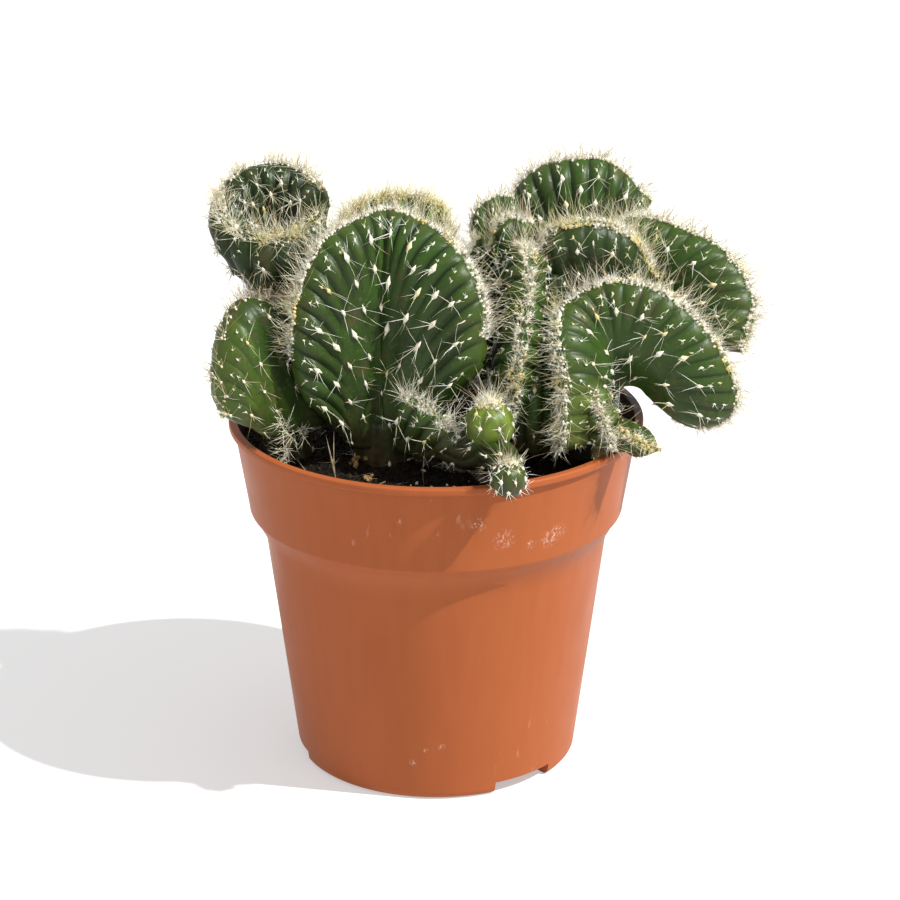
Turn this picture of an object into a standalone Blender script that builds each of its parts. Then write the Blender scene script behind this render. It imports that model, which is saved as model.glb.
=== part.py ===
"""A crested cactus in a plastic pot.

The pot is a turned shell with a rim band and three notches in its foot. It is filled with soil.
The plant grows as two clumps. Each has two roots that go into plain holes in the soil.
A clump is a union of crests: flat, fan-shaped bodies whose ribs run from a narrow foot to a long,
curved growing edge. Along that edge lies a band of cream wool, a body of its own.

Lengths are in millimetres up to the end, where each mesh is scaled to metres. +Z is up, and the
plant's wide face looks along -Y. All is made round the pot's axis and then moved sideways, so that
the origin is in the plane of the pot's foot and in the middle of the part's box.
"""

from math import cos, pi, radians, sin

import bmesh
import bpy
import numpy as np
from mathutils import Matrix, Vector
from mathutils.bvhtree import BVHTree

MM = 0.001
SEED = 11
CLEAR = 0.35

# Pot
POT_HEIGHT = 104.0
LIP_RADIUS = 60.0
LIP_DROP = 2.2
LIP_ROUND = 0.6
LIP_INNER_RADIUS = 57.4
BAND_TOP_RADIUS = 58.4
BAND_LOW_RADIUS = 54.8
BAND_LOW_HEIGHT = 77.8
BAND_LOW_ROUND = 1.9
NECK_RADIUS = 49.8
NECK_HEIGHT = 69.5
BODY_LOW_RADIUS = 40.9
BASE_RADIUS = 39.0
BASE_ROUND = 2.4
WALL = 1.4
FOOT_HEIGHT = 4.0
FOOT_INNER_RADIUS = 33.0
FLOOR_THICKNESS = 1.6
FLOOR_HOLE_RADIUS = 5.0
POT_SIDES = 36
NOTCH_ANGLES = (-51, 69, 189)
NOTCH_WIDTH = 20.0
NOTCH_HEIGHT = 3.8
NOTCH_REACH = 20.0
DRAIN_HOLES = 5
DRAIN_RING = 22.0
DRAIN_RADIUS = 4.0
DRAIN_SIDES = 8

# Soil
SOIL_EDGE_HEIGHT = 96.5
SOIL_RADIUS = 57.0
SOIL_CROWN = 2.0
SOIL_LUMP = 0.5
SOIL_LUMP_LENGTH = 4.6
SOIL_RINGS = (0.7, 0.35)

# Crests
RIB_PITCH = 6.4
RIB_DEPTH = 0.8
EDGE_INSET = 0.5
END_SHARE = 0.25
EDGE_DEPTHS = (2.0, 6.0)
FACE_SHARES = (0.0,)
NORMAL_PASSES = 12

# Wool band
WOOL_STEP = 4.2
WOOL_ANGLE = 27
WOOL_LOW = 1.1
WOOL_HIGH = 3.0
WOOL_SIDES = 3
WOOL_CLEAR = 0.5
WOOL_SHORTEST = 2

# Needles
NEEDLE_ROWS = (8.0, 18.0, 29.0, 41.0)
NEEDLE_EVERY = 5
NEEDLE_LENGTH = 7.0
NEEDLE_RADIUS = 0.35
NEEDLE_ROOT = 2.4
NEEDLE_CLEAR = 0.5
NEEDLE_LEAN = 0.35
NEEDLE_SPREAD = 0.22
NEEDLE_LOWEST = 0.12
STEM_NEEDLE_STEP = 9.0

# Two directions that no stem, needle or face is square to.
SIDE_WAY = (0.3, 1.0, 0.1)
RAY_WAY = (0.31, 0.17, 0.94)

# Each crest has two lines of points: its growing edge from one end to the other, and its foot.
# Its skin lies EDGE_INSET below the first line, and the wool lies outside it.
LEFT_CRESTS = {
    "low_lobe": dict(
        edge=((-58, -35, 116), (-61, -34, 125), (-61, -32, 134), (-59, -29, 142), (-55, -24, 147),
              (-50, -20, 146), (-43, -15, 140), (-36, -11, 130)),
        foot=((-51, -27, 109), (-32, -13, 107)), half=6.5),
    "back_lobe": dict(
        edge=((-57, -8, 128), (-56, -8, 138), (-50, -9, 143), (-43, -11, 143), (-38, -12, 137)),
        foot=((-49, -8, 118), (-38, -9, 118)), half=5.5),
}
CURL = dict(centre=(-47, 4, 167), radius=15, tilt=29, start=15, end=345, foot=(-43, 2, 139),
            foot_radius=4.5, half=5.5, foot_half=2.8)
LEFT_CRESTS["curl"] = CURL
LEFT_CRESTS |= {
    "great_fan": dict(
        edge=((-37, -27, 118), (-40, -29, 128), (-40, -29, 144), (-34, -22, 161), (-24, -14, 167),
              (-12, -9, 169), (2, -19, 165), (10, -28, 158), (14, -32, 147), (13, -34, 134),
              (10, -33, 127)),
        foot=((-25, -21, 103), (-14, -18, 103), (-3, -22, 103)), half=6.5),
    "rear_fan": dict(
        edge=((-29, 20, 143), (-26, 27, 157), (-12, 31, 161), (1, 29, 159), (6, 21, 148)),
        foot=((-18, 3, 112), (-8, 3, 112)), half=6.5),
    "front_lobe": dict(
        edge=((-10, -32, 122), (-6, -34, 121), (0, -38, 118), (5, -41, 114), (8, -42, 109)),
        foot=((-11, -25, 106), (1, -33, 104)), half=4.5),
}
RIGHT_CRESTS = {
    "low_fan": dict(
        edge=((34, -35, 105), (35, -36, 115), (35, -35, 127), (33, -29, 138), (35, -20, 144),
              (43, -15, 148), (54, -15, 150), (68, -17, 145), (80, -20, 132), (86, -20, 119),
              (85, -18, 111), (79, -15, 106), (72, -13, 106)),
        foot=((43, -17, 104), (48, -14, 113), (53, -14, 118), (58, -14, 118), (61, -14, 114)),
        half=6.0, foot_half=2.5),
    "back_fan": dict(
        edge=((47, 15, 153), (57, 14, 160), (71, 9, 158), (84, 2, 152), (91, -7, 141),
              (87, -15, 128)),
        foot=((50, 8, 124), (64, 5, 123)), half=6.5),
    "mid_fan": dict(
        edge=((29, -8, 156), (32, -9, 163), (45, -8, 165), (56, -6, 160), (63, -6, 148)),
        foot=((36, 0, 127), (53, 0, 130)), half=6.5),
    "top_fan": dict(
        edge=((21, 26, 154), (23, 27, 164), (31, 28, 171), (43, 28, 173), (52, 28, 171),
              (63, 24, 161)),
        foot=((35, 18, 140), (48, 18, 140)), half=6.5),
    "inner_fan": dict(
        edge=((10, 20, 152), (12, 22, 160), (20, 24, 163), (29, 24, 158)),
        foot=((14, 13, 132), (23, 13, 132)), half=6.0),
    "nook_fan": dict(
        edge=((15, 3, 153), (17, 3, 160), (21, 4, 163), (28, 4, 161)),
        foot=((18, 4, 136), (27, 4, 136)), half=5.0),
    "fold_fan": dict(
        edge=((13, -2, 112), (10, 0, 124), (9, 3, 138), (9, 6, 150), (12, 7, 156)),
        foot=((22, -2, 112), (23, 5, 134)), half=5.0),
    "narrow_fan": dict(
        edge=((23, -2, 156), (26, -12, 159), (26, -22, 156), (25, -29, 147), (24, -32, 137),
              (22, -33, 126), (21, -31, 113)),
        foot=((22, 4, 134), (21, -6, 108)), half=5.5),
    "side_fan": dict(
        edge=((37, -27, 129), (41, -31, 123), (45, -35, 116), (49, -38, 107)),
        foot=((44, -16, 118), (45, -20, 106)), half=4.5),
    "rim_fan": dict(
        edge=((50, -34, 112), (54, -37, 111), (59, -39, 109), (63, -38, 107)),
        foot=((46, -26, 109), (52, -25, 108)), half=4.0),
}

# Each root is a straight stem in the soil: its place and its radius.
LEFT_ROOTS = ((-42, -15, 6.5), (-14, -18, 8.5))
RIGHT_ROOTS = ((43, -16, 6.5), (22, -3, 7.5))

# Each stem has the points of its middle line and its radius at each of them.
LEFT_STEMS = (
    (((-42, -15, 101), (-43, -12, 112)), (6.5, 7.0)),
    (((-43, -12, 108), (-46, -5, 124), (-43, 2, 142)), (6.5, 5.5, 5.5)),
    (((-14, -18, 101), (-14, -17, 110)), (8.5, 9.2)),
    (((-13, -16, 108), (-13, -3, 114), (-12, 4, 120)), (6.5, 6.5, 6.5)),
    (((-6, -28, 107), (3, -35, 108), (10, -41, 108), (15, -43, 113)), (4.5, 4.7, 5.2, 6.0)),
    (((13, -41, 108), (18, -50, 110), (20, -60, 109.5)), (5.0, 4.5, 4.0)),
)
RIGHT_STEMS = (
    (((43, -16, 101), (46, -13, 117)), (6.5, 6.5)),
    (((46, -12, 112), (46, -3, 124), (46, 4, 134), (42, 18, 144)), (6.0, 6.5, 6.5, 6.0)),
    (((44, -8, 118), (52, 2, 122), (58, 7, 127)), (5.5, 5.5, 6.0)),
    (((22, -3, 101), (23, 3, 125), (20, 11, 136)), (7.5, 7.5, 7.0)),
    (((22, -8, 107), (33, -14, 109), (43, -16, 112)), (5.5, 5.5, 5.5)),
    (((27, -22, 102), (27, -22, 116), (28, -18, 132), (32, -13, 140), (33, -9, 149)),
     (6.5, 7.0, 5.5, 5.0, 4.0)),
)

# Each pup is a small ball: its middle and its radius.
LEFT_PUPS = (((15, -43, 116.5), 7.0), ((20, -62.5, 108), 5.0))
PUP_LATITUDES = (-75, -45, -15, 15, 45, 75)
PUP_STEP = 2.6
CLUMPS = {
    "cactus_left": dict(crests=LEFT_CRESTS, roots=LEFT_ROOTS, stems=LEFT_STEMS, pups=LEFT_PUPS),
    "cactus_right": dict(crests=RIGHT_CRESTS, roots=RIGHT_ROOTS, stems=RIGHT_STEMS, pups=()),
}
ROOT_LOW = 85.0
ROOT_HIGH = 103.0
STEM_SIDES = 12
STEM_RIB = 0.5
STEM_STEP = 6.0


def clear_scene():
    for old in list(bpy.data.objects):
        bpy.data.objects.remove(old, do_unlink=True)


def material(name, color, roughness):
    made = bpy.data.materials.new(name)
    made.use_nodes = True
    shader = made.node_tree.nodes["Principled BSDF"]
    shader.inputs["Base Color"].default_value = (*color, 1.0)
    shader.inputs["Roughness"].default_value = roughness
    return made


def add_object(name, points, faces):
    """A closed mesh of triangles, with its faces pointing out."""
    mesh = bpy.data.meshes.new(name)
    mesh.from_pydata([tuple(p) for p in points], [], faces)
    work = bmesh.new()
    work.from_mesh(mesh)
    bmesh.ops.triangulate(work, faces=work.faces)
    bmesh.ops.recalc_face_normals(work, faces=work.faces)
    if work.calc_volume(signed=True) < 0:
        bmesh.ops.reverse_faces(work, faces=work.faces)
    work.to_mesh(mesh)
    work.free()
    made = bpy.data.objects.new(name, mesh)
    bpy.context.scene.collection.objects.link(made)
    return made


def unit(vectors):
    return vectors / np.linalg.norm(vectors, axis=-1, keepdims=True)


def smooth_line(points, count=None, step=None):
    """Even steps along a Catmull-Rom curve through the points."""
    p = np.array(points, float)
    ends = np.vstack([2 * p[0] - p[1], p, 2 * p[-1] - p[-2]])
    t = np.linspace(0, 1, 20, endpoint=False)[:, None]
    fine = []
    for a, b, c, d in zip(ends, ends[1:], ends[2:], ends[3:]):
        fine.append(0.5 * (2 * b + (c - a) * t + (2 * a - 5 * b + 4 * c - d) * t ** 2
                           + (3 * b - a - 3 * c + d) * t ** 3))
    fine = np.vstack(fine + [p[-1:]])
    along = np.concatenate([[0], np.cumsum(np.linalg.norm(np.diff(fine, axis=0), axis=1))])
    if count is None:
        count = max(3, round(along[-1] / step) + 1)
    at = np.linspace(0, along[-1], count)
    return np.stack([np.interp(at, along, fine[:, k]) for k in range(3)], axis=-1)


def length_of(line):
    return float(np.linalg.norm(np.diff(line, axis=0), axis=1).sum())


def curl_lines(count):
    """The growing edge and the foot of the crest that is rolled into a funnel."""
    turn = np.radians(np.linspace(CURL["start"], CURL["end"], count))[:, None]
    east = np.array([1.0, 0.0, 0.0])
    rise = np.array([0.0, cos(radians(CURL["tilt"])), sin(radians(CURL["tilt"]))])
    north = np.array([0.0, 1.0, 0.0])
    edge = np.array(CURL["centre"]) + CURL["radius"] * (np.cos(turn) * east + np.sin(turn) * rise)
    foot = np.array(CURL["foot"]) + CURL["foot_radius"] * (np.cos(turn) * east + np.sin(turn) * north)
    return edge, foot


def crest_lines(crest, count):
    if crest is CURL:
        return curl_lines(count)
    edge, foot = smooth_line(crest["edge"], count), smooth_line(crest["foot"], count)
    return edge - EDGE_INSET * unit(edge - foot), foot


def rib_count(crest):
    return max(3, round(length_of(crest_lines(crest, 60)[0]) / RIB_PITCH))


def round_off(distance, radius):
    """0 at an edge, rising to 1 at the radius along a quarter circle."""
    return np.sqrt(1 - (1 - np.clip(distance / radius, 0, 1)) ** 2)


def evened(normals):
    """Normals that turn evenly from one station to the next."""
    for _ in range(NORMAL_PASSES):
        inner = normals[:-2] + 2 * normals[1:-1] + normals[2:]
        normals = unit(np.vstack([normals[:1], inner, normals[-1:]]))
    return normals


def crest_row(crest, edge, foot, share):
    """One row of a crest's middle surface, with its normals, its half thickness and its length.

    share is 0 along the foot and 1 along the growing edge, one value for each station.
    """
    low = crest.get("foot_half", crest["half"])
    half = low + (crest["half"] - low) * np.minimum(2 * share, 1)
    share = share[:, None]
    row = foot * (1 - share) + edge * share
    along = np.concatenate([[0], np.cumsum(np.linalg.norm(np.diff(row, axis=0), axis=1))])
    from_end = np.minimum(along, along[-1] - along)
    ends = np.maximum(round_off(from_end, np.minimum(half, along[-1] / 2)), END_SHARE)
    normal = evened(unit(np.cross(np.gradient(row, axis=0), edge - foot)))
    return row, normal, half * ends, along[-1]


def crest_mesh(crest):
    """The points and faces of one crest, two stations to a rib."""
    ribs = rib_count(crest)
    count = 2 * ribs + 1
    edge, foot = crest_lines(crest, count)
    height = np.linalg.norm(edge - foot, axis=1)
    half = crest["half"]
    ridge = np.where(np.arange(count) % 2, 1.0, -1.0)
    depths = [np.minimum(d, 0.4 * height * d / EDGE_DEPTHS[-1]) for d in EDGE_DEPTHS]
    depths += [depths[-1] * s + height * (1 - s) for s in FACE_SHARES]
    front, back = [], []
    for depth in reversed(depths):
        row, normal, thick, length = crest_row(crest, edge, foot, 1 - depth / height)
        relief = min(RIB_DEPTH, 0.25 * length / ribs) * np.clip((depth - 1) / 4, 0, 1) * thick / half
        out = (thick * round_off(depth, half) + relief * ridge)[:, None] * normal
        front.append(row + out)
        back.append(row - out)
    loops = np.stack(front + [edge] + back[::-1], axis=1)
    size = loops.shape[1]
    faces = []
    for i in range(count - 1):
        for k in range(size):
            a, b = i * size + k, i * size + (k + 1) % size
            faces.append((a, b, b + size, a + size))
    for first in (0, (count - 1) * size):
        for k in range(size // 2 - 1):
            faces.append((first + k, first + k + 1, first + size - 2 - k, first + size - 1 - k))
        k = size // 2 - 1
        faces.append((first + k, first + k + 1, first + k + 2))
    return loops.reshape(-1, 3), faces


def pup_line(centre, radius):
    """A ball as a short upright stem: the points of its middle line and their radii."""
    turns = np.radians(PUP_LATITUDES)
    points = np.array(centre, float) + np.outer(radius * np.sin(turns), (0, 0, 1))
    return points, radius * np.cos(turns)


def tube_mesh(points, radii, step=STEM_STEP):
    """A ribbed stem round a smooth line, with a radius at each of its points."""
    line = smooth_line(points, step=step)
    at = np.linspace(0, 1, len(line))
    steps = np.linalg.norm(np.diff(np.array(points, float), axis=0), axis=1)
    given = np.concatenate([[0], np.cumsum(steps)])
    radius = np.interp(at * given[-1], given, radii)
    ahead = unit(np.gradient(line, axis=0))
    side = unit(np.cross(ahead, SIDE_WAY))
    up = np.cross(side, ahead)
    rings = []
    for k in range(STEM_SIDES):
        turn = 2 * pi * k / STEM_SIDES
        reach = (radius + (STEM_RIB if k % 2 else -STEM_RIB))[:, None]
        rings.append(line + reach * (cos(turn) * side + sin(turn) * up))
    points = np.stack(rings, axis=1).reshape(-1, 3)
    return points, loft_faces(len(line), STEM_SIDES)


def loft_faces(stations, size):
    """Quads between closed loops of the same size, with a face over each end."""
    faces = [tuple(range(size)), tuple(range((stations - 1) * size, stations * size))]
    for i in range(stations - 1):
        for k in range(size):
            a, b = i * size + k, i * size + (k + 1) % size
            faces.append((a, b, b + size, a + size))
    return faces


def tree_of(made):
    return BVHTree.FromPolygons([tuple(v.co) for v in made.data.vertices],
                                [tuple(f.vertices) for f in made.data.polygons])


def is_clear(point, tree, distance):
    """True when the point is outside the body and at least that far from its surface."""
    if tree.find_nearest(Vector(point))[3] < distance:
        return False
    way = Vector(RAY_WAY)
    start, hits = Vector(point), 0
    while True:
        where = tree.ray_cast(start, way)[0]
        if where is None:
            return hits % 2 == 0
        hits += 1
        start = where + way * 1e-3


def wool_meshes(crest, trees):
    """The bands that saddle a crest's growing edge, one on each stretch that is free."""
    half = crest["half"]
    length = length_of(crest_lines(crest, 60)[0])
    count = max(4, round(length / WOOL_STEP) + 1)
    edge, foot = crest_lines(crest, count)
    ahead = unit(np.gradient(edge, axis=0))
    reach = unit(edge - foot)
    out = unit(reach - (reach * ahead).sum(axis=1, keepdims=True) * ahead)
    side = np.cross(ahead, out)
    lean = half * (reach * out).sum(axis=1)
    angles = np.radians(np.linspace(-WOOL_ANGLE, WOOL_ANGLE, WOOL_SIDES))
    stations = []
    for i in range(count):
        low = WOOL_CLEAR
        high = low + (WOOL_HIGH if i % 2 else WOOL_LOW)
        middle = edge[i] - lean[i] * out[i]
        inner = [middle + cos(a) * (lean[i] + low) * out[i] + sin(a) * (half + low) * side[i]
                 for a in angles]
        crown = [high if 0 < k < WOOL_SIDES - 1 else low + WOOL_LOW for k in range(WOOL_SIDES)]
        outer = [middle + cos(a) * (lean[i] + h) * out[i] + sin(a) * (half + h) * side[i]
                 for a, h in zip(angles, crown)]
        stations.append(inner + outer[::-1])
    loops = np.array(stations)
    middles = (loops[:-1] + loops[1:]) / 2
    probes = np.concatenate([middles, (middles + np.roll(middles, 1, axis=1)) / 2], axis=1)
    inset = max(1, round(0.7 * half / WOOL_STEP))
    size = 2 * WOOL_SIDES
    faces = loft_faces(count, size)
    surface = loops.reshape(-1, 3)
    met = {(face - 2) // size for tree in trees for face in faces_met(surface, faces, tree)}
    free = [i not in met and inset <= i < count - 1 - inset
            and all(is_clear(p, tree, WOOL_CLEAR / 2) for p in probes[i] for tree in trees)
            for i in range(count - 1)]
    bands = []
    for first, last in runs_of(free):
        if last - first >= WOOL_SHORTEST:
            points = loops[first:last + 1].reshape(-1, 3)
            bands.append((points, loft_faces(last + 1 - first, size)))
    return bands


def faces_met(points, faces, tree):
    """The numbers of the faces that cross the surface of another body."""
    own = BVHTree.FromPolygons([tuple(p) for p in points], faces)
    return {mine for mine, _ in own.overlap(tree)}


def runs_of(flags):
    """The start and end of each unbroken run of true flags."""
    runs, start = [], 0
    for i, flag in enumerate(list(flags) + [False]):
        if not flag:
            if i > start:
                runs.append((start, i))
            start = i + 1
    return runs


def needle_mesh(root, way, length):
    """A three-sided needle from below the skin to its tip."""
    side = unit(np.cross(way, SIDE_WAY))
    up = np.cross(way, side)
    points = []
    for k in range(3):
        turn = 2 * pi * k / 3
        points.append(root - way * NEEDLE_ROOT + NEEDLE_RADIUS * (cos(turn) * side + sin(turn) * up))
    return points + [root + way * length], [(0, 1, 2), (0, 1, 3), (1, 2, 3), (2, 0, 3)]


def needle_sites(crest, rng):
    """The root and the direction of each needle of a crest, on the ridges of both faces."""
    ribs = rib_count(crest)
    edge, foot = crest_lines(crest, 2 * ribs + 1)
    height = np.linalg.norm(edge - foot, axis=1)
    half = crest["half"]
    sites = []
    for number, depth in enumerate(NEEDLE_ROWS):
        share = np.clip(1 - depth / height, 0, 1)
        row, normal, thick, length = crest_row(crest, edge, foot, share)
        relief = min(RIB_DEPTH, 0.25 * length / ribs)
        reach = unit(edge - foot)
        for i in range(1, 2 * ribs, 2):
            if (i // 2 + number) % NEEDLE_EVERY or share[i] < NEEDLE_LOWEST:
                continue
            for face in (1, -1):
                out = face * normal[i]
                root = row[i] + out * (thick[i] * float(round_off(depth, half)) + relief)
                lean = NEEDLE_LEAN * reach[i] + rng.normal(0, NEEDLE_SPREAD, 3)
                sites.append((root, unit(out + lean), NEEDLE_LENGTH * rng.uniform(0.75, 1.2)))
    return sites


def stem_sites(points, radii, rng):
    """Needles on the part of a stem that is above the soil."""
    line = smooth_line(points, step=STEM_NEEDLE_STEP)
    reach = np.interp(np.linspace(0, 1, len(line)), np.linspace(0, 1, len(radii)), radii)
    ahead = unit(np.gradient(line, axis=0))
    sites = []
    for i in range(1, len(line)):
        for k in range(3):
            turn = 2 * pi * (k / 3 + i * 0.17)
            side = unit(np.cross(ahead[i], SIDE_WAY))
            out = cos(turn) * side + sin(turn) * np.cross(side, ahead[i])
            way = unit(out + NEEDLE_LEAN * ahead[i] + rng.normal(0, NEEDLE_SPREAD, 3))
            sites.append((line[i] + out * reach[i], way, NEEDLE_LENGTH * rng.uniform(0.6, 0.9)))
    return sites


def applied(made):
    """The mesh of an object with its modifiers applied."""
    return bpy.data.meshes.new_from_object(made.evaluated_get(bpy.context.evaluated_depsgraph_get()))


def join(name, pieces):
    """One body from several closed ones, by one Boolean union on a collection."""
    base = pieces[0]
    rest = bpy.data.collections.new(name + "_rest")
    bpy.context.scene.collection.children.link(rest)
    for piece in pieces[1:]:
        bpy.context.scene.collection.objects.unlink(piece)
        rest.objects.link(piece)
    union = base.modifiers.new("union", "BOOLEAN")
    union.operation = "UNION"
    union.operand_type = "COLLECTION"
    union.collection = rest
    union.solver = "MANIFOLD"
    bpy.context.view_layer.update()
    joined = applied(base)
    base.modifiers.clear()
    base.data = joined
    base.name = name
    for piece in list(rest.objects):
        bpy.data.objects.remove(piece, do_unlink=True)
    bpy.data.collections.remove(rest)
    drop_scraps(base)
    return base


def drop_scraps(made):
    """Keeps the largest of an object's bodies."""
    work = bmesh.new()
    work.from_mesh(made.data)
    left, groups = set(work.verts), []
    while left:
        group, open_verts = set(), [left.pop()]
        while open_verts:
            vertex = open_verts.pop()
            group.add(vertex)
            near = {e.other_vert(vertex) for e in vertex.link_edges} & left
            left -= near
            open_verts.extend(near)
        groups.append(group)
    groups.sort(key=len)
    bmesh.ops.delete(work, geom=[v for group in groups[:-1] for v in group], context="VERTS")
    work.to_mesh(made.data)
    work.free()


def cut(target, cutter):
    """The target without the space that the cutter fills."""
    difference = target.modifiers.new("cut", "BOOLEAN")
    difference.operation = "DIFFERENCE"
    difference.object = cutter
    difference.solver = "EXACT"
    bpy.context.view_layer.update()
    left = applied(target)
    target.modifiers.clear()
    target.data = left
    bpy.data.objects.remove(cutter, do_unlink=True)


def turned(name, profile, sides):
    """A body turned round Z from a closed profile of radius and height, clear of the axis."""
    points = [(r * cos(2 * pi * k / sides), r * sin(2 * pi * k / sides), z)
              for k in range(sides) for r, z in profile]
    size = len(profile)
    faces = []
    for k in range(sides):
        for j in range(size):
            a, b = k * size + j, k * size + (j + 1) % size
            c, d = (k + 1) % sides * size + (j + 1) % size, (k + 1) % sides * size + j
            faces.append((a, b, c, d))
    return add_object(name, points, faces)


def turned_solid(name, profile, sides):
    """A body turned round Z from an open profile whose two ends are closed by flat faces."""
    points = [(r * cos(2 * pi * k / sides), r * sin(2 * pi * k / sides), z)
              for r, z in profile for k in range(sides)]
    return add_object(name, points, loft_faces(len(profile), sides))


def box(name, size, centre, turn):
    """A box of that size, turned round Z about the origin after it is placed."""
    points = []
    for x in (-0.5, 0.5):
        for y in (-0.5, 0.5):
            for z in (-0.5, 0.5):
                px, py = centre[0] + x * size[0], centre[1] + y * size[1]
                points.append((px * cos(turn) - py * sin(turn), px * sin(turn) + py * cos(turn),
                               centre[2] + z * size[2]))
    faces = [(0, 1, 3, 2), (4, 5, 7, 6), (0, 1, 5, 4), (2, 3, 7, 6), (0, 2, 6, 4), (1, 3, 7, 5)]
    return add_object(name, points, faces)


def pot_outer_profile():
    """The outside of the pot, from its foot up to the top of the lip."""
    return [
        (BASE_RADIUS, 0.0),
        (BODY_LOW_RADIUS, BASE_ROUND),
        (NECK_RADIUS, NECK_HEIGHT),
        (BAND_LOW_RADIUS - BAND_LOW_ROUND / 2, BAND_LOW_HEIGHT - BAND_LOW_ROUND),
        (BAND_LOW_RADIUS, BAND_LOW_HEIGHT),
        (BAND_TOP_RADIUS, POT_HEIGHT - LIP_DROP),
        (LIP_RADIUS, POT_HEIGHT - LIP_DROP + LIP_ROUND),
        (LIP_RADIUS, POT_HEIGHT - LIP_ROUND),
        (LIP_RADIUS - LIP_ROUND, POT_HEIGHT),
    ]


def pot_inner_profile():
    """The inside of the pot, from the lip down to the edge of its floor."""
    floor = FOOT_HEIGHT + FLOOR_THICKNESS
    return [
        (LIP_INNER_RADIUS, POT_HEIGHT),
        (BAND_LOW_RADIUS - WALL, BAND_LOW_HEIGHT),
        (NECK_RADIUS - WALL, NECK_HEIGHT),
        (BODY_LOW_RADIUS - WALL, floor),
    ]


def make_pot():
    floor = FOOT_HEIGHT + FLOOR_THICKNESS
    underside = [
        (FLOOR_HOLE_RADIUS, floor),
        (FLOOR_HOLE_RADIUS, FOOT_HEIGHT),
        (FOOT_INNER_RADIUS, FOOT_HEIGHT),
        (FOOT_INNER_RADIUS, 0.0),
    ]
    pot = turned("pot", pot_outer_profile() + pot_inner_profile() + underside, POT_SIDES)
    for angle in NOTCH_ANGLES:
        size = (NOTCH_REACH, NOTCH_WIDTH, 2 * NOTCH_HEIGHT)
        cut(pot, box("notch", size, (BASE_RADIUS, 0.0, 0.0), radians(angle)))
    for k in range(DRAIN_HOLES):
        turn = 2 * pi * k / DRAIN_HOLES
        drain = turned_solid("drain", ((DRAIN_RADIUS, 0.0), (DRAIN_RADIUS, 2 * floor)), DRAIN_SIDES)
        place = (DRAIN_RING * cos(turn), DRAIN_RING * sin(turn), 0.0)
        drain.data.transform(Matrix.Translation(place))
        cut(pot, drain)
    return pot


def soil_top(x, y):
    """The soil's height at a place: a low mound with a few lumps."""
    radius = (x * x + y * y) ** 0.5
    mound = SOIL_EDGE_HEIGHT + SOIL_CROWN * cos(min(1.0, radius / SOIL_RADIUS) * pi / 2)
    across, along = x / SOIL_LUMP_LENGTH, y / SOIL_LUMP_LENGTH
    return mound + SOIL_LUMP * (sin(across) * cos(along) + sin(along + across / 2))


def make_soil():
    """The soil fills the pot, and has a plain hole for each stem that goes into it."""
    inner = pot_inner_profile()
    (high_radius, high), (low_radius, low) = inner[0], inner[1]
    rim = low_radius + (high_radius - low_radius) * (SOIL_EDGE_HEIGHT - low) / (high - low)
    wall = [(r - CLEAR, z + CLEAR) for r, z in inner[:0:-1]]
    top = [(rim - CLEAR, SOIL_EDGE_HEIGHT)] + [(rim * share, 0.0) for share in SOIL_RINGS]
    soil = turned_solid("soil", wall + top, POT_SIDES)
    for vertex in soil.data.vertices:
        if vertex.co.z == 0.0:
            vertex.co.z = soil_top(vertex.co.x, vertex.co.y)
    for x, y, radius in LEFT_ROOTS + RIGHT_ROOTS:
        reach = (radius + STEM_RIB + CLEAR) / cos(pi / STEM_SIDES)
        hole = turned_solid("hole", ((reach, ROOT_LOW - CLEAR), (reach, POT_HEIGHT)), STEM_SIDES)
        hole.data.transform(Matrix.Translation((x, y, 0.0)))
        cut(soil, hole)
    return soil


def clump_pieces(clump):
    """The crests, stems, pups and roots of a clump, as separate closed bodies."""
    pieces = [add_object("crest", *crest_mesh(crest)) for crest in clump["crests"].values()]
    pieces += [add_object("stem", *tube_mesh(points, radii)) for points, radii in clump["stems"]]
    pieces += [add_object("pup", *tube_mesh(*pup_line(*pup), PUP_STEP)) for pup in clump["pups"]]
    for x, y, radius in clump["roots"]:
        ends = ((x, y, ROOT_LOW), (x, y, ROOT_HIGH))
        pieces.append(add_object("root", *tube_mesh(ends, (radius, radius))))
    return pieces


def make_needles(clump, bodies, others):
    """The needles of a clump that are free of its other bodies and of its neighbours."""
    rng = np.random.default_rng(SEED)
    crests = list(clump["crests"].values())
    sites = [(i, site) for i, crest in enumerate(crests) for site in needle_sites(crest, rng)]
    stems = list(clump["stems"]) + [pup_line(*pup) for pup in clump["pups"]]
    sites += [(len(crests) + i, site) for i, stem in enumerate(stems)
              for site in stem_sites(*stem, rng)]
    needles = []
    for owner, (root, way, length) in sites:
        if any(not is_clear(root + 0.5 * way, body, NEEDLE_CLEAR)
               for i, body in enumerate(bodies) if i != owner):
            continue
        along = [root + way * length * share for share in np.linspace(0, 1, 5)]
        points, faces = needle_mesh(root, way, length)
        if all(is_clear(p, tree, NEEDLE_CLEAR) for p in along for tree in others):
            if not any(faces_met(points, faces, tree) for tree in others):
                needles.append(add_object("needle", points, faces))
    return needles


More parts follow.
